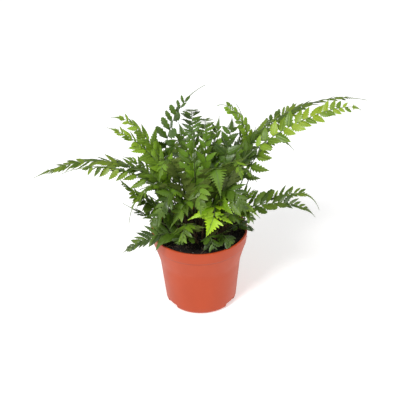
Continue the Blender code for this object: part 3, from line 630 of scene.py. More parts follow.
class Leaf:
    """A thin closed leaf in the making: margin points belong to both its faces."""

    def __init__(self):
        self.points = []
        self.thick = []         # half thickness at each point; 0 on the margin
        self.vein = []          # 1 on the midrib, 0 half way out along a lobe, -1 on the margin
        self.faces = []         # of the upper face
        self.foot = ()          # the midrib's first point, and the margin points beside it

    def point(self, place, thick=0.0, vein=-1.0):
        self.points.append(Vector(place))
        self.thick.append(thick)
        self.vein.append(vein)
        return len(self.points) - 1

    def fan(self, centre, ring):
        """Triangles from a point to a ring of points round it."""
        for one, two in zip(ring, ring[1:] + ring[:1]):
            self.faces.append((centre, one, two))

    def mesh(self, name, bend, mirrored):
        """Both faces as one closed mesh, bent by a function from point to point."""
        inner = [index for index, thick in enumerate(self.thick) if thick]
        under = {index: index for index in range(len(self.points))}
        under.update({index: len(self.points) + order for order, index in enumerate(inner)})
        places = [bend(point) + Vector((0, 0, thick))
                  for point, thick in zip(self.points, self.thick)]
        places += [bend(self.points[index]) - Vector((0, 0, self.thick[index])) for index in inner]
        bottom = [tuple(under[index] for index in face[::-1]) for face in self.faces]
        first, right, left = self.foot
        bottom += [(first, left, under[first]), (first, under[first], right)]
        faces = self.faces + bottom
        if mirrored:
            places = [Vector((x, -y, z)) for x, y, z in places]
            faces = [face[::-1] for face in faces]
        mesh = bpy.data.meshes.new(name)
        mesh.from_pydata(places, [], faces)
        along = [point.x for point in self.points]
        across = [point.y for point in self.points]
        for label, values in (("along", along), ("across", across), ("vein", self.vein)):
            data = mesh.attributes.new(label, "FLOAT", "POINT").data
            data.foreach_set("value", [*values, *(values[index] for index in inner)])
        data = mesh.attributes.new("underside", "FLOAT", "FACE").data
        data.foreach_set("value", [0.0] * len(self.faces) + [1.0] * len(bottom))
        self.sharpen_margin(mesh, set(inner))
        return mesh

    def sharpen_margin(self, mesh, inner):
        """Shade a mesh of this leaf smooth, but for the edge where its two faces meet."""
        margin = set()
        for face in self.faces:
            for pair in zip(face, face[1:] + face[:1]):
                margin ^= {frozenset(pair)}
        sharp = mesh.attributes.new("sharp_edge", "BOOLEAN", "EDGE").data
        for edge in mesh.edges:
            sharp[edge.index].value = frozenset(edge.vertices) in margin and not (
                inner & set(edge.vertices))
        mesh.shade_smooth()


def half_width_at(outline, x, side):
    """Half width of the uncut leaflet at x, on the side of the frond's tip if side is 1."""
    x = min(max(x, 0.0), 1.0)
    if not outline.widest:
        return outline.half_width * (1 - x) ** outline.taper
    rise = (x / outline.widest) ** (outline.taper * outline.widest)
    fall = ((1 - x) / (1 - outline.widest)) ** (outline.taper * (1 - outline.widest))
    ear = outline.ear * (1 - x) ** 4
    return outline.half_width * rise * fall * (1 + ear if side > 0 else 1 - 0.5 * ear)


def gap_between_lobes(outline, foot, side):
    """The bottom of the gap that starts at this foot on the midrib: x and distance from it.

    Each round follows the side veins' slope a little closer to the margin.
    """
    slope = 1 / math.tan(math.radians(outline.lean))
    x = foot
    for _ in range(4):
        out = half_width_at(outline, x, side) * (1 - outline.cut * (1 - 0.4 * foot))
        x = min(foot + slope * out, 0.5 * foot + 0.5)
    return x, out


def lobe_margin(outline, start, end, side):
    """Margin points between two gaps: small teeth, a shoulder and the lobe's point."""
    (x_start, out_start), (x_end, out_end) = start, end
    rows = []
    for tooth in range(outline.teeth):
        share = LOBE_POINT * (tooth + 0.9) / (outline.teeth + 1)
        rows += [(share, 0.0), (share + TOOTH_STEP, outline.bite)]
    rows += [(LOBE_POINT * (outline.teeth + 0.55) / (outline.teeth + 1), 0.0), (LOBE_POINT, 0.0)]
    points = []
    for share, bite in rows:
        x = x_start + share * (x_end - x_start)
        gap = out_start + share * (out_end - out_start)
        full = half_width_at(outline, x, side)
        rise = math.sin(math.pi / 2 * share / LOBE_POINT) ** 0.8
        out = gap + (full - gap) * min(1.0, rise)
        points.append((x + 0.10 * (full - gap), out - bite * full))
    return points


def grow_leaf(outline):
    """The flat leaf for an outline: midrib and toothed lobes on both sides."""
    leaf = Leaf()
    feet = [step / outline.lobes for step in range(outline.lobes + 1)]
    ribs = [leaf.point((foot, 0, 0), LEAF_HALF_THICKNESS * (1 - THINNING * foot), 1.0)
            for foot in feet[:-1]]
    tip = leaf.point((1, 0, 0))
    ribs.append(tip)
    base = [leaf.point((0, side * BASE_HALF_WIDTH, 0)) for side in (-1, 1)]
    leaf.foot = (ribs[0], *base)
    for side, gap in zip((-1, 1), base):
        gaps = [(0.0, BASE_HALF_WIDTH)]
        gaps += [gap_between_lobes(outline, foot, side) for foot in feet[1:-1]]
        gaps.append((1.0, 0.0))
        for step in range(outline.lobes):
            start, end = gaps[step], gaps[step + 1]
            margin = [leaf.point((x, side * out, 0))
                      for x, out in lobe_margin(outline, start, end, side)]
            last = step == outline.lobes - 1
            after = tip if last else leaf.point((end[0], side * end[1], 0))
            middle_foot = 0.5 * (feet[step] + feet[step + 1])
            far = leaf.points[margin[-1]]
            middle = Vector((0.52 * middle_foot + 0.48 * far.x, 0.46 * far.y, PUFF))
            thick = 0.7 * LEAF_HALF_THICKNESS * (1 - THINNING * middle_foot)
            centre = leaf.point(middle, thick, 0.0)
            ring = [ribs[step], gap, *margin, after]
            if not last:
                ring.append(ribs[step + 1])
            leaf.fan(centre, ring if side < 0 else ring[::-1])
            gap = after
    return leaf


def leaflet_models():
    """Every outline in its variants, left-hand and right-hand, in the order of their index."""
    models = []
    draw = random.Random(LEAFLET_SEED)
    for kind, outline in enumerate(OUTLINES):
        for variant in range(VARIANTS):
            varied = outline._replace(
                half_width=outline.half_width * draw.uniform(0.92, 1.10),
                lean=outline.lean + draw.uniform(-4, 4),
                sickle=outline.sickle * draw.uniform(0.4, 1.6))
            wave = draw.uniform(0, 6.28)

            def bend(point, shape=varied, wave=wave):
                x, y, z = point
                ripple = RIPPLE * math.sin(9 * x + wave) * abs(y) / shape.half_width
                z += ripple - shape.droop * x * x - shape.fold * abs(y)
                return Vector((x, y + shape.sickle * x * x, z))

            leaf = grow_leaf(varied)
            for mirrored in (True, False):
                name = f"leaflet_{len(models):02d}"
                models.append(in_scene(name, leaf.mesh(name, bend, mirrored)))
    return models


leaflet_kit = kit("leaflets", leaflet_models())


# ================================================================ fronds: how one grows
# A frond is a wiry stalk that rises out of the soil and runs on as the blade's rib. It bears
# rows of leaflets to both sides, shorter and closer together towards the toothed tip. The
# stalk is brown and scaly at its foot and green above.
STALK_DEPTH = 4 * MM            # how far the stalk stands in the soil
STALK_RADIUS = 0.95 * MM
STALK_SIDES = 7
TIP_RADIUS = 0.30 * MM
BLADE_END = 0.93                # share of the rib where the last leaflets sit
STAGGER = 0.3                   # share of their spacing that the right row is ahead by
CLOSING = 0.3                   # how much wider than even the spacing is at the blade's foot
OVERLAP = 1.5                   # how wide a leaflet may be for its room
FIRST_LENGTH = 0.72             # of the blade's first leaflets, as a share of the longest
LENGTH_GAIN = 1.4               # how fast the next ones grow longer
LAST_LENGTH = 0.04
LEAFLET_SPREAD = (0.82, 1.10)   # least and most length, by chance
LEAST_WIDTH = 0.55              # the most that a crowded leaflet is narrowed
TIP_CUP = 9 * MM                # depth of the toothed tip's folds
TIP_DROOP = 6.0                 # how fast its margins fall, per metre
SCALES_PER_STALK = 22
SCALY_SHARE = 0.17              # share of the rib that bears scales
SCALE_TURN = 2.4                # angle from one scale to the next, in radians
SCALE_LENGTHS = (1.6 * MM, 3.6 * MM)
LEAF_CLEARANCE = 2.2 * MM       # height of leaves that lie on the soil
RIM_REACH = 0.8 * MM            # how far past the rim leaves still lie on it
RIM_CLEARANCE = 0.5 * MM

TIP_OUTLINE = Outline(lobes=11, half_width=1, widest=0, taper=1.5, cut=.66, lean=75, teeth=0,
                      bite=0, ear=0, sickle=0, droop=0, fold=0)
COARSE_TIP_OUTLINE = TIP_OUTLINE._replace(lobes=7, taper=1.25, cut=.50, teeth=1, bite=.06)


def tip_model(name, outline):
    """The frond's drawn-out tip, flat: 1 long, half width 1 at its start, lobed and toothed."""
    return in_scene(name, grow_leaf(outline).mesh(name, lambda point: point, False))


def scale_model():
    """A papery brown scale, 1 long, as sits on the foot of a stalk."""
    shape = bmesh.new()
    base_left, base_right = (shape.verts.new((0, side * 0.12, 0.02)) for side in (1, -1))
    left, right = (shape.verts.new((0.45, side * 0.20, 0.10)) for side in (1, -1))
    tip = shape.verts.new((1, 0, 0.42))
    back = shape.verts.new((0.4, 0, -0.03))
    for corners in ((base_left, base_right, right, left), (left, right, tip)):
        shape.faces.new(corners)
    ring = (base_left, left, tip, right, base_right)
    for one, two in zip(ring, ring[1:] + ring[:1]):
        shape.faces.new((one, two, back))
    bmesh.ops.recalc_face_normals(shape, faces=shape.faces)
    return as_object("stalk_scale", shape)


class RibFrame(NamedTuple):
    """Directions at a share of the rib, as fields."""
    place: Wire
    along: Wire
    side: Wire
    up: Wire


class FrondTree(GeometryTree):
    """Grows a frond on a curve that runs from the soil to the frond's tip."""

    def __init__(self):
        super().__init__(
            "frond", Leaflets="Collection", Tips="Collection", Scales="Collection",
            Buried="Float", Bare="Float", Reach="Float", Pairs="Int", Roll="Float", Lift="Float",
            Foot_Lean="Float", Tip_Lean="Float", Fullness="Float", Slimness="Float",
            Broadest="Float", Foot_Kind="Int", Upper_Kind="Int", Upper_From="Float",
            Small_From="Float", Tip_From="Float", Tip_Width="Float", Jitter="Float", Seed="Int",
            Leaf="Material", Stalk="Material", Scale_Material="Material")
        self.curve = self.node("GeometryNodeMeshToCurve", [self.given("Geometry")])
        self.whole = self.node("GeometryNodeCurveLength", [self.curve])
        self.length = self.whole - self.given("Buried")
        leaves = self.painted(self.keep_clear(self.join(self.leaflets(), self.tip())), "Leaf")
        self.finish(self.join(leaves, self.stalk(), self.scales()))

    def at(self, share):
        """The rib's frame at a share of it, rolled as the frond's Roll input says."""
        factor = (self.given("Buried") + share * self.length) / self.whole
        sample = self.node("GeometryNodeSampleCurve", {"Curves": self.curve, "Factor": factor},
                           mode="FACTOR")
        along = sample.out("Tangent")
        across = self.reckon("CROSS_PRODUCT", along, Vector((0, 0, 1)))
        turn = self.reckon("MINIMUM", 1.0, share / self.given("Bare"))
        side = self.rotated(self.reckon("NORMALIZE", across), along, self.given("Roll") * turn)
        return RibFrame(sample.out("Position"), along, side,
                        self.reckon("CROSS_PRODUCT", side, along))

    def rotated(self, vector, axis, angle):
        return self.node("ShaderNodeVectorRotate", {"Vector": vector, "Axis": axis,
                                                    "Angle": angle})

    def turned_to(self, up, along):
        """The rotation that takes Z to up and X to along."""
        return self.node("FunctionNodeAxesToRotation", [up, along], primary_axis="Z",
                         secondary_axis="X")

    def split(self, angle):
        """Cosine and sine of an angle."""
        return self.reckon("COSINE", angle), self.reckon("SINE", angle)

    def mix(self, factor, low, high):
        return low + factor * (high - low)

    def leaflet_length(self, place):
        """A leaflet's length here: soon full along the blade, then shorter towards its tip."""
        rise = self.reckon("MINIMUM", 1.0, FIRST_LENGTH + LENGTH_GAIN * place)
        fall = 1 - self.reckon("POWER", place, self.given("Fullness"))
        return self.given("Reach") * (rise * fall + LAST_LENGTH)

    def beyond(self, place, name):
        """1 past the place that this input gives, 0 before it."""
        return self.reckon("GREATER_THAN", place, self.given(name))

    def leaflets(self):
        """Two rows of leaflets, the right one a little further along."""
        index = self.node("GeometryNodeInputIndex")
        right = self.reckon("MODULO", index, 2.0)
        pair = self.reckon("FLOOR", index / 2.0)
        pairs = self.given("Pairs")
        bare = self.given("Bare")
        step = (pair + 0.3) / pairs
        blade = BLADE_END - bare
        spacing = blade * (1 + CLOSING - 2 * CLOSING * step) / pairs
        share = bare + blade * step * (1 + CLOSING - CLOSING * step) + right * STAGGER * spacing
        place = (share - bare) / (1 - bare)
        here = self.at(share)
        jitter = self.given("Jitter")
        lean = self.mix(place, self.given("Foot Lean"), self.given("Tip Lean"))
        lean_cosine, lean_sine = self.split(lean + jitter * self.random(-1, 1, 1))
        flat = here.along * lean_cosine + here.side * (2 * right - 1) * lean_sine
        cosine, sine = self.split(self.given("Lift") + jitter * self.random(-1, 1, 2))
        outward = flat * cosine + here.up * sine
        upward = self.rotated(here.up * cosine - flat * sine, outward,
                              jitter * self.random(-1.4, 1.4, 3))
        length = self.leaflet_length(place) * self.random(*LEAFLET_SPREAD, 4)
        room = OVERLAP * spacing * self.length * lean_sine / (length * self.given("Slimness"))
        width = self.reckon("MINIMUM", self.given("Broadest"),
                            self.reckon("MAXIMUM", LEAST_WIDTH, room))
        kind = self.mix(self.beyond(place, "Upper From"), self.given("Foot Kind"),
                        self.given("Upper Kind"))
        kind = self.mix(self.beyond(place, "Small From"), kind, float(SMALL))
        variant = self.reckon("FLOOR", self.random(0, 1.999, 5))
        placed = self.copies(
            self.node("GeometryNodePoints", {"Count": pairs * 2, "Position": here.place}),
            "Leaflets", self.turned_to(upward, outward),
            self.combine(length, length * width, length),
            pick=(kind * VARIANTS + variant) * 2 + right,
            selection=self.reckon("LESS_THAN", place, self.given("Tip From")))
        return self.real(self.store(placed, "tint", self.random(0, 1, 6), domain="INSTANCE"))

    def tip(self):
        """The lobed tip, wrapped along the last stretch of the rib."""
        flat = self.real(self.node("GeometryNodeCollectionInfo",
                                   {"Collection": self.given("Tips")}))
        x, y, z = self.axes(self.node("GeometryNodeInputPosition"))
        start = self.given("Tip From") - 0.02
        share = self.mix(self.mix(x, start, 1.0), self.given("Bare"), 1.0)
        here = self.at(share)
        width = self.leaflet_length(start) * self.given("Tip Width")
        cosine, sine = self.split(self.given("Lift"))
        half = self.reckon("ABSOLUTE", y) * width
        high = half * sine + z * TIP_CUP - half * half * TIP_DROOP
        wrapped = self.moved(flat, Position=here.place + here.side * (y * width * cosine)
                             + here.up * high)
        return self.store(wrapped, "tint", 0.5)

    def keep_clear(self, leaves):
        """Leaves that come down on the rim or the soil lie on them."""
        x, y, z = self.axes(self.node("GeometryNodeInputPosition"))
        radius = self.reckon("SQRT", x * x + y * y)
        inside = self.reckon("LESS_THAN", radius, RIM_RADIUS - RIM_LIP)
        over_rim = self.reckon("LESS_THAN", radius, RIM_RADIUS + RIM_REACH)
        slope_x, slope_y = SOIL_SLOPE
        soil_top = SOIL_TOP + LEAF_CLEARANCE + slope_x * x + slope_y * y
        ground = self.mix(over_rim, -1.0, POT_HEIGHT + RIM_CLEARANCE)
        ground = self.mix(inside, ground, soil_top)
        raised = self.combine(x, y, self.reckon("MAXIMUM", z, ground))
        return self.moved(leaves, Position=raised)

    def stalk(self):
        """The stalk and rib: a round rod that thins out towards the tip."""
        share = self.node("GeometryNodeSplineParameter").out("Factor")
        circle = self.node("GeometryNodeCurvePrimitiveCircle", {"Resolution": STALK_SIDES,
                                                                "Radius": 1.0})
        rod = self.node("GeometryNodeCurveToMesh", {
            "Curve": self.store(self.curve, "share", share), "Profile Curve": circle,
            "Scale": self.mix(share, STALK_RADIUS, TIP_RADIUS), "Fill Caps": True})
        return self.painted(self.node("GeometryNodeSetShadeSmooth", [rod]), "Stalk")

    def scales(self):
        """Papery scales on the lowest part of the stalk, pointing up and out."""
        index = self.node("GeometryNodeInputIndex")
        order = self.reckon("POWER", index / float(SCALES_PER_STALK), 1.5)
        here = self.at(0.004 + SCALY_SHARE * order)
        cosine, sine = self.split(index * SCALE_TURN)
        out = here.side * cosine + here.up * sine
        points = self.node("GeometryNodePoints", {
            "Count": SCALES_PER_STALK, "Position": here.place + out * (0.7 * STALK_RADIUS)})
        size = self.random(*SCALE_LENGTHS, 8)
        placed = self.copies(points, "Scales", self.turned_to(out, here.along),
                             self.combine(size, size, size))
        return self.painted(self.real(placed), "Scale Material")


frond_group = FrondTree().group
tip_kit = kit("frond_tips", [tip_model("frond_tip", TIP_OUTLINE)])
coarse_tip_kit = kit("coarse_frond_tips", [tip_model("coarse_frond_tip", COARSE_TIP_OUTLINE)])
scale_kit = kit("stalk_scales", [scale_model()])


# ================================================================ fronds: leaf and stalk finishes
# Leaves are dark to fresh green with a waxy gloss above and a paler, duller underside, with
# fine veins that fork into the teeth. Old leaves are deepest, the youngest are lime green.
def stored(tree, name):
    """A number kept on the mesh under this name."""
    return tree.node("ShaderNodeAttribute", attribute_name=name).out("Fac")


def vein_pattern():
    """Shader group: how deep a vein runs at a place of a leaf."""
    group = bpy.data.node_groups.new("leaf_veins", "ShaderNodeTree")
    group.interface.new_socket("Vein Count", in_out="INPUT", socket_type="NodeSocketFloat")
    group.interface.new_socket("Veins", in_out="OUTPUT", socket_type="NodeSocketFloat")
    tree = Tree(group)
    start = group.nodes.new("NodeGroupInput")
    count = Wire(tree, start.outputs[0])
    out = tree.reckon("ABSOLUTE", stored(tree, "across"))
    phase = tree.reckon("FRACT", (stored(tree, "along") - 0.9 * out) * count)
    side_vein = 1.0 - tree.reckon("ABSOLUTE", phase - 0.42) * 11
    midrib = 1.0 - out * 38
    veins = tree.reckon("MAXIMUM", 0.0, tree.reckon("MAXIMUM", 0.6 * side_vein, midrib))
    end = group.nodes.new("NodeGroupOutput")
    group.links.new(veins.socket, end.inputs[0])
    return group


LEAF_VEINS = vein_pattern()
VEINS_PER_SIDE = 8.0
# Painted shade and sunlight: leaves near the pot's axis get a cooler green, those far out a warmer
# one.
CROWN_SHADE = 35 * MM           # distance from the pot's axis within which the painted shade is fullest
OPEN_LIGHT = 110 * MM           # and beyond which the painted sunlight is fullest
SHADE_FACTORS = (0.9, 1.1, 1.3)        # painted shade: factors on a green's three parts
SUNLIGHT_FACTORS = (1.2, 1.04, 1.0)


def scaled(colour, *factors):
    """A colour times one factor, or times one for each of its parts."""
    return tuple(part * factor for part, factor in zip(colour, factors * (3 // len(factors))))


def leaf_finish(name, dark, bright, under, roughness):
    """One green of leaf: two greens that it varies between, and its underside.

    Painted shade and sunlight: leaves near the crown's axis are a cooler green, further out warmer.
    """
    leaf = Material(name, Specular_IOR_Level=0.5, IOR=1.45)
    tint, underside, edge = (stored(leaf, field) for field in ("tint", "underside", "vein"))
    veins = leaf.node("ShaderNodeGroup", {"Vein Count": VEINS_PER_SIDE}, node_tree=LEAF_VEINS)
    patches = leaf.noise(14 * MM, detail=4)
    puckers = leaf.noise(4 * MM, detail=2)
    mottle = leaf.noise(1.8 * MM, detail=3)
    light = leaf.ramp(0.75 * tint + 0.5 * patches, 0.30, 0.86)
    x, y, _ = leaf.axes(leaf.place())
    spread = leaf.reckon("SQRT", x * x + y * y)
    # painted shade and sunlight: cooler green near the axis, warmer further out
    lit_green = leaf.blend(leaf.ramp(spread, CROWN_SHADE, OPEN_LIGHT), scaled(bright, *SHADE_FACTORS),
                       scaled(bright, *SUNLIGHT_FACTORS))
    colour = leaf.blend(light, dark, lit_green)
    colour = leaf.blend(0.30 * mottle, colour, scaled(dark, 0.6))
    colour = leaf.blend(0.35 * leaf.ramp(edge, 0.0, -1.0), colour, scaled(bright, 1.15))
    colour = leaf.blend(0.45 * veins, colour, scaled(bright, 1.5))
    below = leaf.blend(0.4 * veins, under, scaled(under, 0.7))
    colour = leaf.blend(underside, colour, below)
    leaf.set("Base Color", colour)
    leaf.set("Roughness", roughness + 0.16 * underside + 0.14 * mottle)
    leaf.bump(1.6 * puckers + 0.5 * mottle - veins, 0.5, 0.4 * MM)
    return leaf.material


LEAF_FINISHES = {
    # dark and bright above, the underside, and roughness
    "deep": leaf_finish("leaf_deep", (0.022, 0.050, 0.004), (0.085, 0.150, 0.010),
                        (0.100, 0.140, 0.022), 0.28),
    "mid": leaf_finish("leaf_mid", (0.048, 0.094, 0.005), (0.150, 0.250, 0.014),
                       (0.150, 0.210, 0.035), 0.30),
    "light": leaf_finish("leaf_light", (0.085, 0.165, 0.006), (0.230, 0.370, 0.016),
                         (0.200, 0.290, 0.045), 0.32),
    "young": leaf_finish("leaf_young", (0.220, 0.420, 0.006), (0.420, 0.600, 0.014),
                         (0.300, 0.480, 0.045), 0.36),
}


STALK_GREEN = (0.060, 0.110, 0.020)
STALK_PALE_GREEN = (0.110, 0.170, 0.036)
STALK_UMBER = (0.030, 0.018, 0.010)
STALK_BROWN = (0.085, 0.050, 0.024)
SCALE_RUST = (0.075, 0.035, 0.016)
SCALE_TAN = (0.26, 0.14, 0.065)


def stalk_finish():
    """Brown and dull at the foot, green and smooth above."""
    stalk = Material("frond_stalk", Specular_IOR_Level=0.5)
    share = stored(stalk, "share")
    streaks = stalk.noise(2.5 * MM, stretch=(1, 1, 0.2))
    upper = stalk.blend(streaks, STALK_GREEN, STALK_PALE_GREEN)
    lower = stalk.blend(streaks, STALK_UMBER, STALK_BROWN)
    stalk.set("Base Color", stalk.blend(stalk.ramp(share, 0.10, 0.55), lower, upper))
    stalk.set("Roughness", stalk.ramp(share, 0.1, 0.6, 0.75, 0.42))
    stalk.bump(streaks, 0.3, 0.15 * MM)
    return stalk.material


def scale_finish():
    """Thin, papery and rusty brown."""
    papery = Material("stalk_scales", Roughness=0.85)
    papery.set("Base Color", papery.blend(papery.noise(1.5 * MM), SCALE_RUST, SCALE_TAN))
    return papery.material


STALK_FINISH = stalk_finish()
SCALE_FINISH = scale_finish()


# ================================================================ fronds: the planting
# The fronds rise from the middle of the soil and arch outwards all round. The row for each one
# says where its stalk stands, how its rib runs and how it is leaved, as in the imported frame.
class Frond(NamedTuple):
    """A frond's rib and blade. Places are in millimetres, angles in degrees."""
    name: str
    root: tuple         # x and y where the stalk leaves the soil
    climb: tuple        # x, y and z that the stalk first heads for
    over: tuple         # x, y and z that the rib bends under before its tip
    tip: tuple          # x, y and z where the rib ends
    bare: float         # share of the rib below the first leaflet
    reach: float        # length of the longest leaflet
    pairs: int          # pairs of leaflets in the frame
    shape: str          # which leaflets it bears
    tone: str           # which green
    roll: float = 0     # turn of the blade about its rib, right side down if positive
    lift: float = 0     # how far both rows of leaflets rise from the blade's plane


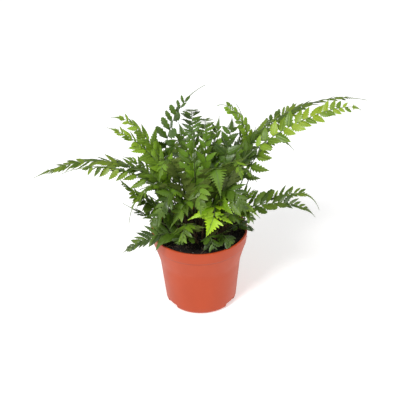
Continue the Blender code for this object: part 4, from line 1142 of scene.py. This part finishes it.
PLAN = (
    # the two long arms to the right, and the drooping fronds below them
    Frond("right_arm_back", (16, 9), (4, 16, 183), (111, 50, 277), (208, 46, 252),
          bare=.36, reach=20, pairs=11, roll=-14, shape="band", tone="mid"),
    Frond("right_arm_front", (19, 4), (-7, 2, 199), (175, 16, 282), (197, 16, 254),
          bare=.48, reach=18, pairs=12, roll=38, lift=5, shape="open", tone="light"),
    Frond("right_middle", (25, 9), (54, 19, 155), (85, 13, 257), (117, 9, 205),
          bare=.40, reach=22, pairs=6, roll=30, lift=-20, shape="tail", tone="mid"),
    Frond("right_low_back", (21, -8), (49, -10, 125), (128, -16, 196), (147, -20, 137),
          bare=.52, reach=14, pairs=8, roll=15, lift=20, shape="thread", tone="mid"),
    Frond("right_low_front", (18, -17), (14, -22, 141), (110, -40, 184), (140, -40, 140),
          bare=.36, reach=25, pairs=9, roll=20, lift=20, shape="fan", tone="deep"),
    # the long arm to the left, and the thin fronds below it
    Frond("left_arm_front", (-20, -2), (-26, -4, 165), (-94, -14, 225), (-163, -22, 199),
          bare=.38, reach=19, pairs=9, roll=-17, lift=-37, shape="trail", tone="mid"),
    Frond("left_arm_back", (-20, 8), (-17, 10, 168), (-104, 12, 231), (-202, 6, 177),
          bare=.38, reach=21, pairs=11, shape="band", tone="mid"),
    Frond("left_middle", (-24, -6), (-27, -14, 147), (-71, -22, 146), (-95, -25, 193),
          bare=.40, reach=17, pairs=9, roll=-20, shape="lance", tone="mid"),
    Frond("left_low", (-22, -14), (-27, -17, 115), (-60, -17, 128), (-93, -18, 153),
          bare=.40, reach=14, pairs=8, shape="thread", tone="mid"),
    Frond("left_lowest", (-18, -20), (-40, -27, 154), (-74, -32, 212), (-86, -30, 130),
          bare=.60, reach=16, pairs=8, shape="thread", tone="mid"),
    # the fronds that reach up and to the left
    Frond("top_left", (-12, 16), (-64, 24, 163), (-39, 48, 252), (11, 62, 270),
          bare=.46, reach=19, pairs=9, roll=18, lift=40, shape="whip", tone="deep"),
    Frond("upper_left_back", (-16, 11), (-32, 12, 166), (-59, 14, 258), (-103, 20, 251),
          bare=.38, reach=27, pairs=9, roll=-22, lift=5, shape="lance", tone="light"),
    Frond("upper_left_front", (-14.5, 1.5), (-24, 6, 168), (-59, 6, 228), (-107, 2, 247),
          bare=.38, reach=28, pairs=9, roll=-22, lift=5, shape="lance", tone="light"),
    Frond("upper_left_low", (-18, -8), (-28, -14, 144), (-48, -14, 201), (-89, -16, 217),
          bare=.36, reach=26, pairs=8, roll=-22, lift=5, shape="lance", tone="mid"),
    # the crown's top
    Frond("top_middle", (-4, 20), (-4, 22, 236), (-6, 40, 250), (-8, 128, 202),
          bare=.52, reach=16, pairs=9, lift=5, shape="comb", tone="deep"),
    Frond("top_middle_right", (2, 21), (13, 26, 224), (9, 44, 238), (11, 122, 190),
          bare=.52, reach=16, pairs=9, lift=5, shape="comb", tone="mid"),
    Frond("top_right_curl", (12, 13.5), (112, 24, 156), (49, 46, 268), (25, 50, 247),
          bare=.64, reach=10, pairs=9, roll=-12, shape="curl", tone="light"),
    Frond("top_right", (14, 18), (39, 34, 159), (72, 52, 211), (49, 64, 242),
          bare=.50, reach=12, pairs=8, lift=5, shape="thread", tone="mid"),
    # the front, low over the soil and the rim
    Frond("front_left_wide", (-8, -24), (-15, -28, 114), (-48, -36, 133), (-94, -46, 99),
          bare=.20, reach=25, pairs=9, roll=-30, lift=10, shape="lance", tone="deep"),
    Frond("front_young", (3, -20), (2, -26, 161), (36, -36, 179), (7, -58, 126),
          bare=.50, reach=32, pairs=5, shape="young", tone="young"),
    Frond("front_right_young", (13, -12), (-7, -20, 153), (42, -40, 185), (73, -48, 145),
          bare=.44, reach=21, pairs=6, roll=44, shape="tail", tone="light"),
    Frond("front_hanging_right", (4, -8), (7, -12, 181), (21, -26, 246), (26, -54, 178),
          bare=.58, reach=23, pairs=6, shape="tail", tone="mid"),
    Frond("front_hanging_left", (-4, -14), (-4, -20, 158), (-5, -34, 192), (-36, -50, 134),
          bare=.60, reach=17, pairs=5, shape="tail", tone="mid"),
    Frond("front_hanging_far_left", (-9, -17), (-18, -24, 154), (-19, -34, 206), (-43, -42, 163),
          bare=.55, reach=20, pairs=5, shape="tail", tone="mid"),
    Frond("front_soil_middle", (7, -28), (10, -31, 114), (14, -37, 120), (16, -50, 103),
          bare=.30, reach=16, pairs=4, shape="paddle", tone="deep"),
    Frond("front_soil_right", (18, -25), (21, -28, 114), (28, -34, 122), (38, -44, 104),
          bare=.30, reach=19, pairs=4, shape="paddle", tone="deep"),
    Frond("front_soil_left", (-3, -28), (-9, -33, 114), (-17, -42, 128), (-28, -54, 114),
          bare=.30, reach=17, pairs=4, shape="paddle", tone="deep"),
    Frond("right_rim", (26, -8), (35, -16, 114), (52, -15, 126), (68, -14, 106),
          bare=.34, reach=17, pairs=4, shape="paddle", tone="deep"),
    Frond("left_rim", (-27, 3), (-31, 8, 134), (-46, 0, 148), (-67, -8, 126),
          bare=.30, reach=21, pairs=5, roll=-10, shape="paddle", tone="deep"),
    Frond("right_rim_back", (27, 2), (46, 4, 114), (49, 6, 151), (73, 2, 152),
          bare=.30, reach=21, pairs=5, roll=10, shape="cut", tone="light"),
    # the crown's heart: tiers that hang to the front, and tiers that lean back behind them
    Frond("heart_low_left", (-13, -12), (-24, -20, 128), (-42, -36, 172), (-60, -50, 134),
          bare=.24, reach=23, pairs=6, roll=-16, lift=-5, shape="cut", tone="deep"),
    Frond("heart_low_middle", (-4, -21), (-9, -30, 124), (-16, -46, 160), (-22, -66, 122),
          bare=.26, reach=22, pairs=5, roll=18, lift=-5, shape="cut", tone="mid"),
    Frond("heart_low_right", (12, -19), (17, -26, 127), (30, -40, 167), (48, -58, 144),
          bare=.26, reach=22, pairs=5, roll=-14, lift=-5, shape="cut", tone="deep"),
    Frond("heart_low_far_right", (23, -13), (32, -18, 128), (52, -28, 170), (66, -40, 132),
          bare=.26, reach=20, pairs=5, roll=14, lift=-5, shape="cut", tone="mid"),
    Frond("heart_left", (-12, -6), (-24, -12, 150), (-56, -30, 224), (-74, -42, 160),
          bare=.26, reach=24, pairs=6, roll=22, shape="cut", tone="mid"),
    Frond("heart_front_left", (-7, -9), (-11, -14, 153), (-34, -44, 216), (-48, -61, 152),
          bare=.28, reach=24, pairs=6, roll=-24, shape="cut", tone="deep"),
    Frond("heart_front", (1, -4), (1, -10, 162), (0, -42, 230), (2, -66, 160),
          bare=.30, reach=24, pairs=6, roll=28, shape="cut", tone="mid"),
    Frond("heart_front_right", (10, -5), (16, -10, 155), (40, -38, 216), (56, -56, 154),
          bare=.28, reach=24, pairs=6, roll=22, shape="cut", tone="deep"),
    Frond("heart_right", (18, -2), (28, -6, 157), (42, -18, 234), (70, -30, 185),
          bare=.28, reach=25, pairs=6, roll=-22, shape="cut", tone="mid"),
    Frond("heart_high_left", (-9, 0), (-18, 0, 176), (-38, -18, 254), (-46, -42, 196),
          bare=.32, reach=23, pairs=6, roll=26, shape="cut", tone="mid"),
    Frond("heart_high_right", (14, 1), (24, -3, 172), (46, -18, 248), (52, -42, 192),
          bare=.32, reach=23, pairs=6, roll=-24, shape="cut", tone="light"),
    Frond("heart_inner_left", (-7, 6), (-15, 12, 134), (-30, 22, 176), (-44, 30, 204),
          bare=.13, reach=24, pairs=6, roll=30, lift=5, shape="cut", tone="deep"),
    Frond("heart_inner_middle", (2, 5), (5, 11, 134), (10, 26, 196), (12, 38, 229),
          bare=.13, reach=26, pairs=6, roll=-36, lift=5, shape="cut", tone="mid"),
    Frond("heart_inner_right", (9, 6), (20, 7, 135), (57, 12, 182), (71, 18, 234),
          bare=.13, reach=26, pairs=6, roll=28, lift=5, shape="cut", tone="deep"),
    Frond("heart_back_left", (-9, 13), (0, 19, 147), (-14, 39, 210), (-23, 52, 225),
          bare=.18, reach=26, pairs=6, roll=-32, lift=5, shape="cut", tone="mid"),
    Frond("heart_back_middle", (0, 14), (3, 26, 145), (6, 45, 190), (-13, 62, 224),
          bare=.18, reach=26, pairs=6, roll=32, lift=5, shape="cut", tone="light"),
    Frond("heart_back_right", (7, 18.5), (5, 28, 144), (25, 46, 205), (28, 63, 227),
          bare=.18, reach=27, pairs=6, roll=-30, lift=5, shape="cut", tone="mid"),
    Frond("heart_back_far_right", (19.5, 12.5), (16, 8, 146), (45, 40, 211), (43, 44, 236),
          bare=.18, reach=27, pairs=6, roll=25, lift=5, shape="cut", tone="deep"),
    # the back, spreading low
    Frond("back_far_right", (24, 17), (12, 30, 183), (86, 56, 214), (133, 60, 242),
          bare=.73, reach=14, pairs=7, roll=30, lift=22, shape="paddle", tone="mid"),
    Frond("back_right", (16, 25), (30, 48, 145), (60, 88, 202), (92, 122, 166),
          bare=.34, reach=26, pairs=6, lift=-10, shape="cut", tone="deep"),
    Frond("back_middle_right", (8, 27), (14, 50, 140), (28, 98, 190), (42, 144, 146),
          bare=.34, reach=26, pairs=6, lift=-10, shape="cut", tone="mid"),
    Frond("back_middle_left", (-9, 27), (-13, 50, 140), (-24, 96, 192), (-36, 142, 148),
          bare=.34, reach=26, pairs=6, lift=-10, shape="cut", tone="deep"),
    Frond("back_left", (-14, 22), (-28, 42, 140), (-54, 78, 192), (-78, 108, 156),
          bare=.34, reach=26, pairs=6, lift=-10, shape="cut", tone="mid"),
    Frond("back_far_left", (-22, 16), (-38, 28, 138), (-66, 44, 180), (-96, 58, 150),
          bare=.34, reach=21, pairs=6, lift=-10, shape="lance", tone="deep"),
    Frond("back_low", (1, 29), (2, 42, 124), (4, 72, 150), (6, 106, 112),
          bare=.32, reach=24, pairs=5, lift=-10, shape="cut", tone="mid"),
)


class Habit(NamedTuple):
    """How a kind of frond bears its leaflets."""
    foot_kind: int
    upper_kind: int
    upper_from: float   # place along the blade where the upper kind begins
    small_from: float
    tip_from: float     # place along the blade where the toothed tip begins
    tip_width: float
    crowding: float     # pairs of leaflets for each pair in the frame
    lean: tuple         # angle between rib and leaflet at the blade's foot and at its tip
    fullness: float     # how far along the leaflets stay long
    slimness: float
    broadest: float     # the most that a leaflet is widened
    tips: bpy.types.Collection


HABITS = {
    "lance": Habit(TOOTHED, TOOTHED, .5, .80, .88, .75, 1.4, (58, 38), 1.5, .48, 1.1, tip_kit),
    "band": Habit(TOOTHED, TOOTHED, .5, .74, .86, .75, 1.9, (50, 36), 2.4, .44, 1.2, tip_kit),
    "open": Habit(TOOTHED, TOOTHED, .4, .84, .93, .80, 1.1, (56, 46), 3.4, .46, 1.2, tip_kit),
    "trail": Habit(TOOTHED, TOOTHED, .2, .85, .74, .12, 1.1, (52, 34), 3.0, .44, 1.1, tip_kit),
    "whip": Habit(TOOTHED, BLUNT, .2, .62, .72, .15, 1.1, (50, 30), 2.2, .46, 1.1, tip_kit),
    "comb": Habit(TOOTHED, SMALL, .3, .60, .88, .60, 2.2, (62, 44), 1.6, .40, .70, tip_kit),
    "curl": Habit(BLUNT, BLUNT, .5, .97, .97, .60, 1.3, (66, 50), 6.0, .60, 1.2, tip_kit),
    "thread": Habit(TOOTHED, SMALL, .3, .50, .55, .40, 1.45, (50, 36), 1.6, .50, 1.1, tip_kit),
    "fan": Habit(BLUNT, TOOTHED, .45, .74, .82, .75, 1.4, (50, 34), 1.2, .54, 1.1, tip_kit),
    "paddle": Habit(BLUNT, BLUNT, .6, .80, .87, .75, 1.25, (62, 36), 2.3, .56, 1.1, tip_kit),
    "cut": Habit(CUT, TOOTHED, .40, .80, .87, .75, 1.8, (64, 40), 2.4, .50, 1.1, tip_kit),
    "tail": Habit(CUT, TOOTHED, .30, .60, .42, .75, 1.2, (70, 40), 2.3, .50, 1.1, tip_kit),
    "young": Habit(CUT, CUT, .50, .90, .52, .70, 1.2, (80, 50), 2.0, .62, 1.1, coarse_tip_kit),
}
LEAFLET_SCALE = 1.1             # leaflets are this much longer than in the frame
LEAFLET_JITTER = math.radians(13)
RIB_STEPS = 48
STALK_FOOT_HEIGHT = 1.2 * MM    # of the rib's first point over the soil


def rib_line(frond):
    """Points along the stalk and rib, from in the soil to the tip."""
    x, y = (MM * value for value in frond.root)
    a = Vector((x, y, soil_level(x, y) + STALK_FOOT_HEIGHT))
    b, c, d = (MM * Vector(point) for point in (frond.climb, frond.over, frond.tip))
    points = [a - STALK_DEPTH * (b - a).normalized()]
    for step in range(RIB_STEPS + 1):
        turn = step / RIB_STEPS
        rest = 1 - turn
        points.append(rest**3 * a + 3 * rest**2 * turn * b + 3 * rest * turn**2 * c + turn**3 * d)
    return points


def grow_frond(frond, seed):
    """One frond as a plain mesh, on its rib."""
    name = f"{frond.name}_frond"
    mesh = bpy.data.meshes.new(name)
    points = rib_line(frond)
    mesh.from_pydata(points, [(step, step + 1) for step in range(len(points) - 1)], [])
    piece = in_scene(name, mesh)
    habit = HABITS[frond.shape]
    foot_lean, tip_lean = (math.radians(angle) for angle in habit.lean)
    grow(piece, frond_group, Leaflets=leaflet_kit, Tips=habit.tips, Scales=scale_kit,
         Buried=STALK_DEPTH, Bare=frond.bare, Reach=LEAFLET_SCALE * frond.reach * MM,
         Pairs=round(frond.pairs * habit.crowding), Roll=math.radians(frond.roll),
         Lift=math.radians(frond.lift), Foot_Lean=foot_lean, Tip_Lean=tip_lean,
         Fullness=habit.fullness, Slimness=habit.slimness, Broadest=habit.broadest,
         Foot_Kind=habit.foot_kind, Upper_Kind=habit.upper_kind, Upper_From=habit.upper_from,
         Small_From=habit.small_from, Tip_From=habit.tip_from, Tip_Width=habit.tip_width,
         Jitter=LEAFLET_JITTER, Seed=seed, Leaf=LEAF_FINISHES[frond.tone],
         Stalk=STALK_FINISH, Scale_Material=SCALE_FINISH)
    return piece


for seed, frond in enumerate(PLAN):
    piece = grow_frond(frond, seed)
    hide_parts(frond.name)
    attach(piece, "root")


# ================================================================ studio
# A pale seamless floor under soft, even light, seen from above the rim. The camera looks along
# +Y and 32 degrees down, so that +X is to the right.
VIEW_HEIGHT_ANGLE = math.radians(32)
VIEW_ROLL = math.radians(-1.45)
VIEW_DISTANCE = 1.5
VIEW_TARGET = Vector((0, 0, 0.130))
VIEW_SCALE = 1.24 * MM          # metres per pixel at the target
IMAGE_SIDE = 400
TARGET_PIXEL = Vector((199.1, 209.2))
SENSOR = 36                     # millimetres
FLOOR_HALF_SIDE = 6             # metres
FLOOR_GLOW = 0.38
AIR_GLOW = 0.42
WHITE = (1, 1, 1, 1)


def studio_camera():
    """The camera, with the target at its place in the picture."""
    data = bpy.data.cameras.new("studio_camera")
    data.sensor_width = SENSOR
    data.lens = SENSOR * (VIEW_DISTANCE / VIEW_SCALE) / IMAGE_SIDE
    camera = in_scene("studio_camera", data)
    turn = (Matrix.Rotation(math.pi / 2 - VIEW_HEIGHT_ANGLE, 3, "X")
            @ Matrix.Rotation(VIEW_ROLL, 3, "Z"))
    back = Vector((0, -math.cos(VIEW_HEIGHT_ANGLE), math.sin(VIEW_HEIGHT_ANGLE)))
    centre = Vector((IMAGE_SIDE / 2, IMAGE_SIDE / 2))
    offset = VIEW_SCALE * (centre - TARGET_PIXEL)
    place = VIEW_TARGET + VIEW_DISTANCE * back + turn @ Vector((offset.x, -offset.y, 0))
    camera.matrix_world = Matrix.Translation(place) @ turn.to_4x4()
    bpy.context.scene.camera = camera


def studio_floor():
    """A white floor that glows a little, so that it stays white under the plant."""
    shape = bmesh.new()
    bmesh.ops.create_grid(shape, x_segments=1, y_segments=1, size=FLOOR_HALF_SIDE)
    paint = Material("floor_paint", Base_Color=(0.95, 0.95, 0.95, 1), Roughness=0.7,
                     Emission_Color=WHITE, Emission_Strength=FLOOR_GLOW)
    as_object("studio_floor", shape, paint.material)


def soft_light(name, place, target, size, power):
    """A round lamp of this width and power, turned to the target."""
    data = bpy.data.lights.new(name, "AREA")
    data.shape = "DISK"
    data.size = size
    data.energy = power
    light = in_scene(name, data)
    light.location = place
    light.rotation_euler = (Vector(target) - Vector(place)).to_track_quat("-Z", "Y").to_euler()


def studio_air():
    """Even light from all round."""
    world = bpy.data.worlds.new("studio_air")
    world.use_nodes = True
    background = world.node_tree.nodes["Background"]
    background.inputs["Color"].default_value = WHITE
    background.inputs["Strength"].default_value = AIR_GLOW
    bpy.context.scene.world = world


studio_camera()
studio_floor()
studio_air()
soft_light("key_light", place=(-0.9, -1.3, 1.9), target=(0, 0, 0.14), size=0.8, power=44)
soft_light("fill_light", place=(1.4, -0.7, 1.1), target=(0, 0, 0.12), size=1.0, power=8)
bpy.context.scene.view_settings.view_transform = "Standard"
